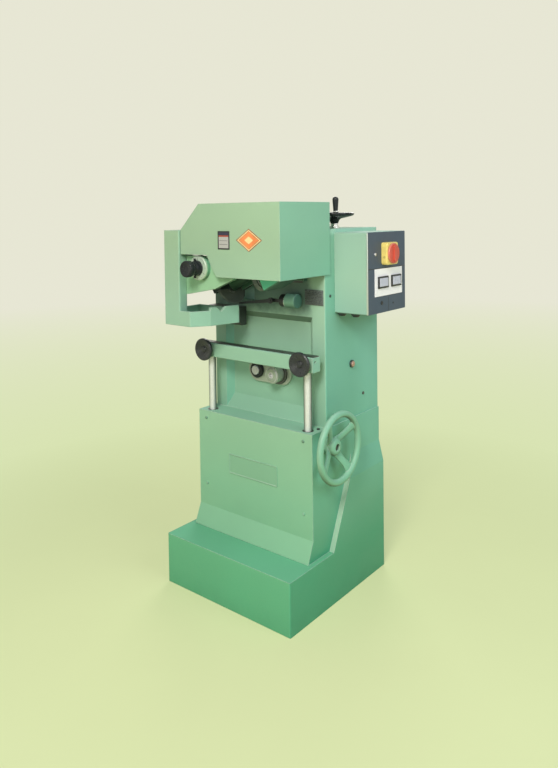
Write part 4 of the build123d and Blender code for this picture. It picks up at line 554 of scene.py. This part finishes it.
def rectangle(u0, v0, u1, v1, r=0.0):
    """Outline of a rectangle, with rounded corners where r is given."""
    if not r:
        return [(u0, v0), (u1, v0), (u1, v1), (u0, v1)]
    steps = 4
    points = []
    corners = (
        (u1 - r, v0 + r, -90), (u1 - r, v1 - r, 0), (u0 + r, v1 - r, 90), (u0 + r, v0 + r, 180),
    )
    for u, v, start in corners:
        for k in range(steps + 1):
            a = radians(start + 90 * k / steps)
            points.append((u + r * cos(a), v + r * sin(a)))
    return points


# Planes that carry small pieces: the front cover, the hood and the rear cover along Y, the panel along X
COVER_Y, HOOD_Y, REAR_Y = -147.0, -314.0, 311.0
PANEL_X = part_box("control_panel")[1].x / MM


# Bare plate with a raised border on the front cover
def on_cover(u, v, h):
    return (u, COVER_Y - h, v)


bm = bmesh.new()
add_frame(bm, rectangle(-120.0, 417.0, 120.0, 494.0, 3.0), 4.0, 0.0, 2.4, on_cover, 0.8)
add_field(bm, rectangle(-117.0, 420.0, 117.0, 491.0), 0.0, 0.8, on_cover)
mesh_object("bare_plate", bm, "green_enamel", "frame")


# Two plain badges on the hood: a blank ruled plate with a header, and nested diamonds
def on_hood(u, v, h):
    return (u, HOOD_Y - h, v)


bm = bmesh.new()
add_frame(bm, rectangle(-1.5, 1296.5, 54.5, 1361.5, 1.5), 3.5, 0.0, 1.8, on_hood, 0.5, 0)
add_field(bm, rectangle(1.0, 1299.0, 52.0, 1359.0), 0.0, 0.8, on_hood, 0)
for bottom, top, index in ((1301.5, 1341.0, 1), (1342.5, 1345.5, 2), (1347.0, 1356.5, 3)):
    add_field(bm, rectangle(3.5, bottom, 49.5, top), 0.6, 1.2, on_hood, index)
for bottom in (1314.0, 1327.0):
    add_field(bm, rectangle(7.0, bottom, 46.0, bottom + 1.2), 1.0, 1.35, on_hood, 3)
mesh_object(
    "plain_badge", bm, ["black_plastic", "badge_silver", "badge_red", "badge_navy"], "frame"
)


def diamond(half_u, half_v):
    """Outline of a diamond about the second badge's middle."""
    u, v = 144.6, 1330.5
    return [(u - half_u, v), (u, v - half_v), (u + half_u, v), (u, v + half_v)]


bm = bmesh.new()
add_frame(bm, diamond(58.0, 39.0), 2.2, 0.0, 1.6, on_hood, 0.5, 0)
add_field(bm, diamond(55.0, 37.0), 0.0, 0.8, on_hood, 1)
add_frame(bm, diamond(47.0, 31.6), 1.5, 0.4, 1.3, on_hood, 0.4, 0)
add_field(bm, diamond(45.0, 30.2), 0.4, 1.0, on_hood, 2)
add_field(bm, diamond(20.0, 13.4), 0.6, 1.3, on_hood, 1)
mesh_object("diamond_badge", bm, ["badge_brown", "badge_cream", "badge_orange"], "frame")


# Slotted pan-head screws in place of the plain ones, the lower two of the front cover painted over
def screw_head(bm, point, outward, turn, coat=0):
    """Slotted head at a point, with its slot turned by some degrees and all its faces of one finish."""
    made_before = len(bm.faces)
    place = towards(point, outward) @ Matrix.Rotation(radians(turn), 4, "Z")
    radius, height, slot, deep = 6.0, 3.5, 0.8, 1.5
    profile = [(radius, 0.0), (radius, 1.2), (radius - 0.5, 2.2), (radius - 1.6, 3.0), (radius - 3.4, height)]
    for side in (-1, 1):
        arcs = []
        for r, h in profile:
            reach = (max(r * r - slot * slot, 0.01)) ** 0.5
            start = atan2(slot, reach)
            arcs.append([
                bm.verts.new(place @ Vector((r * cos(a), side * r * sin(a), h)) * MM)
                for a in (start + (pi - 2 * start) * k / 14 for k in range(15))
            ])
        for low, high in zip(arcs, arcs[1:]):
            for k in range(14):
                bm.faces.new((low[k], low[k + 1], high[k + 1], high[k]))
        bm.faces.new(arcs[-1])
        bm.faces.new([a[0] for a in arcs] + [a[-1] for a in reversed(arcs)])
    add_lathe(bm, [(0.0, height - deep), (radius - 0.3, height - deep), (radius - 0.3, 0.0)], place, 28)
    bm.faces.ensure_lookup_table()
    for face in bm.faces[made_before:]:
        face.material_index = coat


bm = bmesh.new()
turns = iter((12, 75, 140, 33, 95, 160, 20, 60, 110, 5))
for x in (-240.0, 240.0):
    for z, coat in ((350.0, 1), (612.0, 0)):
        screw_head(bm, (x, COVER_Y, z), (0, -1, 0), next(turns), coat)
for x in (-172.5, 172.5):
    for z in (677.5, 825.0, 972.5):
        screw_head(bm, (x, REAR_Y, z), (0, 1, 0), next(turns))
slotted = mesh_object("slotted_screws", bm, ["screw_enamel", "cover_enamel"], "frame")
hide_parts("cover_screws")


# Dial marks, numbers and fluted knob
DIAL = (-115.0, -306.2, 1225.0)
MARKS, NUMBERS = 60, 6


def on_dial(angle, r, h):
    """Point in mm at an angle clockwise from the top, a radius and a height over the dial's face."""
    a = radians(90.0 - angle)
    return (DIAL[0] + r * cos(a), DIAL[1] - h, DIAL[2] + r * sin(a))


def dial_mark(bm, angle, r0, r1, half):
    """Mark between two radii, with the same half-width at both ends."""
    corners = []
    for r, side in ((r0, -1), (r0, 1), (r1, 1), (r1, -1)):
        shift = degrees(side * half / r)
        corners.append((angle + shift, r))
    low = [bm.verts.new(Vector(on_dial(a, r, -0.2)) * MM) for a, r in corners]
    top = [bm.verts.new(Vector(on_dial(a, r, 0.12)) * MM) for a, r in corners]
    bm.faces.new(top)
    for i in range(4):
        bm.faces.new((low[i], low[(i + 1) % 4], top[(i + 1) % 4], top[i]))


bm = bmesh.new()
for i in range(MARKS):
    long = i % 5 == 0
    dial_mark(bm, i * 360.0 / MARKS, 36.5 if long else 38.6, 41.6, 0.55 if long else 0.32)
mesh_object("dial_marks", bm, "black_plastic", "dial")
for i in range(NUMBERS):
    angle = i * 360.0 / NUMBERS
    text = bpy.data.curves.new(f"dial_number_{i}", "FONT")
    text.body = str(i)
    text.size = 0.0078
    text.extrude = 0.00012
    text.align_x = text.align_y = "CENTER"
    figure = bpy.data.objects.new(f"dial_number_{i}", text)
    scene.collection.objects.link(figure)
    spot = Vector(on_dial(angle, 32.6, 0.05)) * MM
    figure.matrix_world = (
        Matrix.Translation(spot)
        @ Matrix.Rotation(radians(90), 4, "X")
        @ Matrix.Rotation(radians(-angle), 4, "Z")
    )
    text.materials.append(finish["black_plastic"])
    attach(figure, "dial")


def flutes(angle, radius, height):
    """Share of the radius that the knob's 18 flutes leave round its grip."""
    if 41.0 < height < 58.0 and radius > 28.0:
        return 1.0 - 0.030 * max(0.0, cos(18 * angle))
    return 1.0


bm = bmesh.new()
profile = [
    (10.3, 0.0), (27.6, 0.0), (28.4, 0.8), (28.4, 3.6), (27.4, 4.6), (27.2, 12.0), (26.0, 19.0),
    (24.0, 24.0), (22.8, 27.0), (22.8, 29.5), (24.6, 32.0), (27.6, 35.5), (29.4, 39.5), (30.2, 43.0),
    (30.4, 46.0), (30.4, 55.0), (30.2, 57.5), (29.4, 59.4), (27.4, 60.7), (24.0, 61.0), (22.5, 60.2),
    (12.0, 59.4), (7.0, 59.6), (0.0, 59.8),
]
add_lathe(bm, profile, towards(DIAL, (0, -1, 0)), 144, shape=flutes)
knob = mesh_object("fluted_knob", bm, "black_bakelite", "dial")
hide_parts("dial_knob")
bm = bmesh.new()
for side in (-1, 1):
    tip = sorted((DIAL[2] + side * 27.5, DIAL[2] + side * 36.0))
    add_block(bm, (DIAL[0] - 3.4, DIAL[1] - 17.0, tip[0]), (DIAL[0] + 3.4, DIAL[1] - 9.0, tip[1]), 1.6, 3)
mesh_object("dial_lugs", bm, "black_bakelite", "dial")


# Ribbed rubber pad: a sheet with rows of uneven knobs
low, high = (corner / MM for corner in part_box("column_pad"))
COLUMNS, ROWS, MARGIN = 13, 9, 2.2
SHEET_BACK, SHEET_FRONT, KNOB_Y, KNOB_FOOT = -52.0, -55.0, -58.0, -3.4
bm = bmesh.new()
add_block(bm, (low.x, SHEET_FRONT, low.z), (high.x, SHEET_BACK, high.z), 1.2)
for i in range(COLUMNS):
    for k in range(ROWS):
        x = low.x + MARGIN + (high.x - low.x - 2 * MARGIN) * (i + 0.5) / COLUMNS
        z = low.z + MARGIN + (high.z - low.z - 2 * MARGIN) * (k + 0.5) / ROWS
        wide = 2.2 + 0.35 * sin(5.1 * i + 2.3 * k)
        tall = 4.6 + 0.7 * sin(3.7 * i - 1.9 * k)
        profile = [
            (wide, KNOB_FOOT), (wide * 0.92, KNOB_FOOT + tall * 0.7), (wide * 0.6, KNOB_FOOT + tall),
            (0.0, KNOB_FOOT + tall),
        ]
        add_lathe(bm, profile, towards((x, KNOB_Y, z), (0, -1, 0)), 8)
pad = mesh_object("ribbed_pad", bm, "rubber", "frame", 50.0)
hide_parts("column_pad")


# Panel: light edge trim, grooves, grommet, indicator dot and screw
bm = bmesh.new()
add_block(bm, (PANEL_X - 4.0, 9.6, 1056.0), (PANEL_X + 1.0, 13.6, 1348.0), 0.6)
mesh_object("panel_trim", bm, "trim", "frame")
bm = bmesh.new()
add_block(bm, (PANEL_X - 0.4, 14.0, 1216.0), (PANEL_X + 0.3, 282.0, 1218.4), 0.2)
add_block(bm, (PANEL_X - 0.4, 156.0, 1058.0), (PANEL_X + 0.3, 158.2, 1108.0), 0.2)
add_lathe(bm, [(7.5, -1.0), (7.5, 1.0), (6.5, 2.2), (4.0, 2.6), (3.4, 1.2), (0.0, 1.0)],
          towards((PANEL_X, 108.0, 1090.0), (1, 0, 0)), 28)
add_lathe(bm, [(3.2, -1.0), (3.2, 1.2), (2.4, 1.8), (0.0, 2.0)],
          towards((PANEL_X, 191.0, 1083.0), (1, 0, 0)), 20)
mesh_object("panel_details", bm, "black_plastic", "frame")
bm = bmesh.new()
screw_head(bm, (PANEL_X, 64.0, 1269.0), (1, 0, 0), 40)
mesh_object("panel_screw", bm, "badge_silver", "frame")


def middle(node):
    """Middle of a node on the panel, across it and up, in mm."""
    low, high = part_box(node)
    return (low.y + high.y) / 2 / MM, (low.z + high.z) / 2 / MM


# Main switch: pale red rim round the disc, a painted highlight on its edge, and a locking hole in the base's
# side
switch_y, switch_z = middle("switch_knob")
bm = bmesh.new()
add_lathe(bm, [(36.2, -7.6), (37.4, -7.6), (37.6, -3.0), (37.0, -1.6), (36.2, -1.6)],
          towards((PANEL_X + 32.4, switch_y, switch_z), (1, 0, 0)), 64)
mesh_object("switch_rim_highlight", bm, "rim_red", "main_switch")
bm = bmesh.new()
base_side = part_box("switch_base")[0].y / MM
add_lathe(bm, [(0.0, -1.0), (3.6, -1.0), (3.6, 0.25), (2.8, 0.3), (2.6, -0.2), (0.0, -0.3)],
          towards((PANEL_X + 12.0, base_side, switch_z - 13.0), (0, -1, 0)), 24)
mesh_object("switch_hole", bm, "black_plastic", "frame")


# Deeper lower band on each button frame
bm = bmesh.new()
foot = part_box("button_frames")[0].z / MM
for button in ("start_button", "stop_button"):
    y = middle(button)[0]
    add_block(bm, (PANEL_X + 2.0, y - 35.0, foot - 0.1), (PANEL_X + 7.4, y + 35.0, foot + 6.0), 0.8)
mesh_object("frame_bands", bm, "black_plastic", "frame")


# Bright ring at the feed cylinder's mouth
mouth = (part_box("feed_cylinder")[0].x / MM, -80.0, 1098.0)
bm = bmesh.new()
add_lathe(bm, [(24.2, -2.0), (24.2, 0.9), (24.8, 1.3), (26.0, 1.1), (26.6, 0.2), (26.6, -2.0)],
          towards(mouth, (-1, 0, 0)), 56)
mesh_object("feed_ring", bm, "chrome", "frame")


# Darker turned ring on the face of the camshaft's cap
low, high = (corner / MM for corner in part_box("camshaft"))
bm = bmesh.new()
add_lathe(bm, [(12.0, -0.4), (12.0, 0.5), (12.6, 0.9), (24.0, 0.9), (25.4, 0.3), (25.6, -0.4)],
          towards(((low.x + high.x) / 2, low.y, (low.z + high.z) / 2), (0, -1, 0)), 48)
mesh_object("cap_ring", bm, "ring_steel", "cycle_shaft")


# Collar and bronze cap over the column's large plug
plug = towards((275.0, 117.5, 847.0), (1, 0, 0))
bm = bmesh.new()
add_lathe(bm, [(14.0, -0.5), (14.0, 6.0), (13.0, 7.4), (10.4, 7.8)], plug, 40, 0)
add_lathe(bm, [(10.6, 7.0), (10.6, 8.8), (9.4, 10.0), (5.6, 10.9), (0.0, 11.1)], plug, 40, 1)
mesh_object("plug_cap", bm, ["dark_steel", "cap_bronze"], "frame")


# Handwheel: round rim, turned hub and four dished spokes that flare into both
def add_loft(bm, rings):
    """Skin over rings of points in mm, closed at both ends."""
    rows = [[bm.verts.new(point * MM) for point in ring] for ring in rings]
    n = len(rows[0])
    for a, b in zip(rows, rows[1:]):
        for i in range(n):
            bm.faces.new((a[i], a[(i + 1) % n], b[(i + 1) % n], b[i]))
    bm.faces.new(rows[0])
    bm.faces.new(rows[-1])


low, high = (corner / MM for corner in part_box("handwheel"))
RIM, TUBE, HUB, BORE = 120.0, 12.0, 31.0, 12.7
SPOKES = (34.0, 124.0, 214.0, 304.0)
STEPS, SIDES = 18, 24
plane_x = high.x - TUBE
hub_length = plane_x - 8.0 - low.x
hub_place = Vector((0.0, (low.y + high.y) / 2, (low.z + high.z) / 2))
bm = bmesh.new()
tube = [(RIM + TUBE * cos(2 * pi * k / 20), TUBE * sin(2 * pi * k / 20)) for k in range(20)]
add_lathe(bm, tube + tube[:1], towards(hub_place + Vector((plane_x, 0, 0)), (1, 0, 0)), 96)
hub = [
    (BORE, 0.0), (HUB - 5.0, 0.0), (HUB, 8.0), (HUB, hub_length - 10.0), (HUB - 2.5, hub_length - 5.0),
    (HUB - 7.0, hub_length), (BORE, hub_length), (BORE, 0.0),
]
add_lathe(bm, hub, towards(hub_place + Vector((low.x, 0, 0)), (1, 0, 0)), 48)

# Each spoke bends through three points of (radius, x)
root = Vector((HUB - 8.0, plane_x - 34.0))
waist = Vector((70.0, plane_x - 14.0))
tip = Vector((RIM - 2.0, plane_x - 1.0))
around = [2 * pi * i / SIDES for i in range(SIDES)]
for angle in SPOKES:
    radial = Vector((0.0, cos(radians(angle)), sin(radians(angle))))
    across = Vector((0.0, -radial.z, radial.y))
    rings = []
    for k in range(STEPS + 1):
        t = k / STEPS
        spot = (1 - t) * (1 - 2 * t) * root + 4 * t * (1 - t) * waist + t * (2 * t - 1) * tip
        slope = ((4 * t - 3) * root + (4 - 8 * t) * waist + (4 * t - 1) * tip).normalized()
        near_hub = max(0.0, 1 - 2 * t) ** 2
        near_rim = max(0.0, 2 * t - 1) ** 2
        wide = 14.0 + 6.0 * near_hub + 9.0 * near_rim
        deep = 6.0 + 2.5 * near_hub
        centre = hub_place + radial * spot.x + Vector((spot.y, 0, 0))
        rise = Vector((slope.x, 0, 0)) - radial * slope.y
        rings.append([centre + across * wide * cos(a) + rise * deep * sin(a) for a in around])
    add_loft(bm, rings)
bmesh.ops.remove_doubles(bm, verts=bm.verts, dist=1e-7)
spoked = mesh_object("spoked_handwheel", bm, "wheel_enamel", "lift_wheel", 50.0)
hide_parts("handwheel")


# Crank wheel: thick at the hub, with a recessed web and a thin rounded edge
low, high = (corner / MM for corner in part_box("crank_wheel"))
edge, hub_top, rim_top = (high.x - low.x) / 2, 1424.0, 1422.0
bm = bmesh.new()
profile = [
    (0.0, hub_top - 3.9), (10.1, hub_top - 3.9), (10.1, low.z), (14.0, low.z), (19.0, rim_top - 28.0),
    (25.0, rim_top - 22.5), (44.0, rim_top - 18.5), (60.0, rim_top - 14.5), (edge - 7.0, rim_top - 12.5),
    (edge - 3.0, rim_top - 10.5), (edge - 0.6, rim_top - 7.5), (edge, rim_top - 5.5),
    (edge - 0.8, rim_top - 2.6), (edge - 3.4, rim_top - 0.6), (edge - 7.0, rim_top), (edge - 16.0, rim_top),
    (edge - 19.0, rim_top - 2.0), (edge - 21.0, rim_top - 5.0), (28.0, rim_top - 5.0), (24.0, rim_top - 3.0),
    (19.0, hub_top - 1.5), (17.0, hub_top), (0.0, hub_top),
]
add_lathe(bm, profile, Matrix.Translation(((low.x + high.x) / 2, (low.y + high.y) / 2, 0)), 72)
CRANK_X, CRANK_Y, HANDLE_REACH, HANDLE_ANGLE = 232.0, 75.0, 62.0, radians(-51.3)
handle = Vector((CRANK_X + HANDLE_REACH * cos(HANDLE_ANGLE), CRANK_Y + HANDLE_REACH * sin(HANDLE_ANGLE), 0.0))
boss = [(0.0, rim_top - 10.0), (10.0, rim_top - 10.0), (10.0, hub_top - 0.6), (9.4, hub_top), (0.0, hub_top)]
add_lathe(bm, boss, Matrix.Translation(handle), 32)
dished = mesh_object("dished_crank", bm, "black_bakelite", "crank")
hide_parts("crank_wheel")


# Sheet behind the column's window, with two stiffening creases
bm = bmesh.new()
add_block(bm, (-217.0, -16.0, 1068.0), (-48.0, -13.5, 1330.0), 0.6)
for z in (1130.0, 1220.0):
    add_block(bm, (-205.0, -18.0, z), (-60.0, -13.6, z + 9.0), 1.6)
mesh_object("window_sheet", bm, "dusty_sheet", "frame")


# Bright washer under the crank's handle
bm = bmesh.new()
add_lathe(bm, [(8.9, 1424.6), (10.6, 1424.8), (10.9, 1425.6), (10.6, 1427.2), (9.4, 1427.8)],
          Matrix.Translation(handle), 40)
mesh_object("handle_washer", bm, "chrome", "crank_grip")


# Floor and backdrop: the floor takes the shadow near the part, and further out only shows its own colours
NEAR = (0.672, 0.767, 0.418)
FAR = (0.800, 0.795, 0.660)
FLOOR = (0.760, 0.800, 0.455)
bm = bmesh.new()
add_lathe(bm, [(reach, 0.0) for reach in (0.0, 400.0, 1500.0, 5000.0, 40000.0)], Matrix.Identity(4), 96)
floor_mesh = bpy.data.meshes.new("floor")
bm.to_mesh(floor_mesh)
bm.free()
floor = bpy.data.objects.new("floor", floor_mesh)
scene.collection.objects.link(floor)
s = Shader("floor")
length = s.tree.nodes.new("ShaderNodeVectorMath")
length.operation = "LENGTH"
s.link(s.coords, length.inputs[0])
mottle = s.remap(s.noise(1.3, 4.0), 0.3, 0.7, 0.97, 1.02)
tone = s.mix(s.remap(length.outputs["Value"], 1.0, 9.0), NEAR, FAR)
s.set("Base Color", s.mix(1.0, FLOOR, mottle, "MULTIPLY"))
s.set("Roughness", 0.9)
s.set("Specular IOR Level", 0.1)
glow = s.tree.nodes.new("ShaderNodeEmission")
s.link(tone, glow.inputs["Color"])
path = s.tree.nodes.new("ShaderNodeLightPath")
blend = s.tree.nodes.new("ShaderNodeMixShader")
sees = s.math("MAXIMUM", path.outputs["Is Camera Ray"], path.outputs["Is Glossy Ray"])
sees = s.math("MAXIMUM", sees, path.outputs["Is Transmission Ray"])
fade = s.product(s.remap(length.outputs["Value"], 0.75, 2.1, 0.40, 1.0), sees)
s.link(fade, blend.inputs[0])
s.link(s.bsdf.outputs[0], blend.inputs[1])
s.link(glow.outputs[0], blend.inputs[2])
s.link(blend.outputs[0], s.output.inputs[0])
floor_mesh.materials.append(s.material)


# World: seen as the far floor's colour, and a weak light of its own on the part
world = bpy.data.worlds.new("studio")
scene.world = world
world.use_nodes = True
tree = world.node_tree
tree.nodes.clear()
seen = tree.nodes.new("ShaderNodeBackground")
seen.inputs["Color"].default_value = (*FAR, 1.0)
ambient = tree.nodes.new("ShaderNodeBackground")
ambient.inputs["Color"].default_value = (0.93, 1.0, 0.97, 1.0)
ambient.inputs["Strength"].default_value = 0.25
path = tree.nodes.new("ShaderNodeLightPath")
mixed = tree.nodes.new("ShaderNodeMixShader")
sees = tree.nodes.new("ShaderNodeMath")
sees.operation = "MAXIMUM"
tree.links.new(path.outputs["Is Camera Ray"], sees.inputs[0])
tree.links.new(path.outputs["Is Glossy Ray"], sees.inputs[1])
through = tree.nodes.new("ShaderNodeMath")
through.operation = "MAXIMUM"
tree.links.new(sees.outputs[0], through.inputs[0])
tree.links.new(path.outputs["Is Transmission Ray"], through.inputs[1])
tree.links.new(through.outputs[0], mixed.inputs[0])
tree.links.new(ambient.outputs[0], mixed.inputs[1])
tree.links.new(seen.outputs[0], mixed.inputs[2])
world_out = tree.nodes.new("ShaderNodeOutputWorld")
tree.links.new(mixed.outputs[0], world_out.inputs[0])


# Lamps
def lamp(name, place, target, size, power, colour=(1.0, 1.0, 1.0)):
    """Round area lamp in metres and watts, aimed at a point."""
    data = bpy.data.lights.new(name, "AREA")
    data.shape = "DISK"
    data.size = size
    data.energy = power
    data.color = colour
    obj = bpy.data.objects.new(name, data)
    obj.location = place
    obj.rotation_euler = (Vector(target) - Vector(place)).to_track_quat("-Z", "Y").to_euler()
    scene.collection.objects.link(obj)


lamp("key", (1.25, -2.65, 2.95), (0.0, -0.2, 0.9), 1.1, 85.0, (1.0, 0.965, 0.90))
lamp("front", (0.5, -3.4, 1.45), (0.0, -0.2, 0.9), 1.6, 15.0, (1.0, 0.98, 0.93))
lamp("fill", (2.9, -0.2, 2.3), (0.2, 0.0, 0.9), 2.0, 35.0, (0.88, 0.95, 1.0))
lamp("rim", (-1.6, 2.7, 2.7), (0.0, 0.1, 0.9), 2.0, 46.0)

# Camera solved from the photograph's edges, for its frame of 558 by 768
camera_data = bpy.data.cameras.new("camera")
camera_data.sensor_width = 36.0
camera_data.lens = 31.987
camera_data.shift_y = -0.19
camera = bpy.data.objects.new("camera", camera_data)
camera.matrix_world = (
    Matrix.Translation((1.6826, -2.0596, 1.4164))
    @ Matrix.Rotation(radians(38.850), 4, "Z")
    @ Matrix.Rotation(radians(90.0 - 1.956), 4, "X")
    @ Matrix.Rotation(radians(-0.709), 4, "Z")
)
scene.collection.objects.link(camera)
scene.camera = camera
scene.view_settings.view_transform = "Standard"
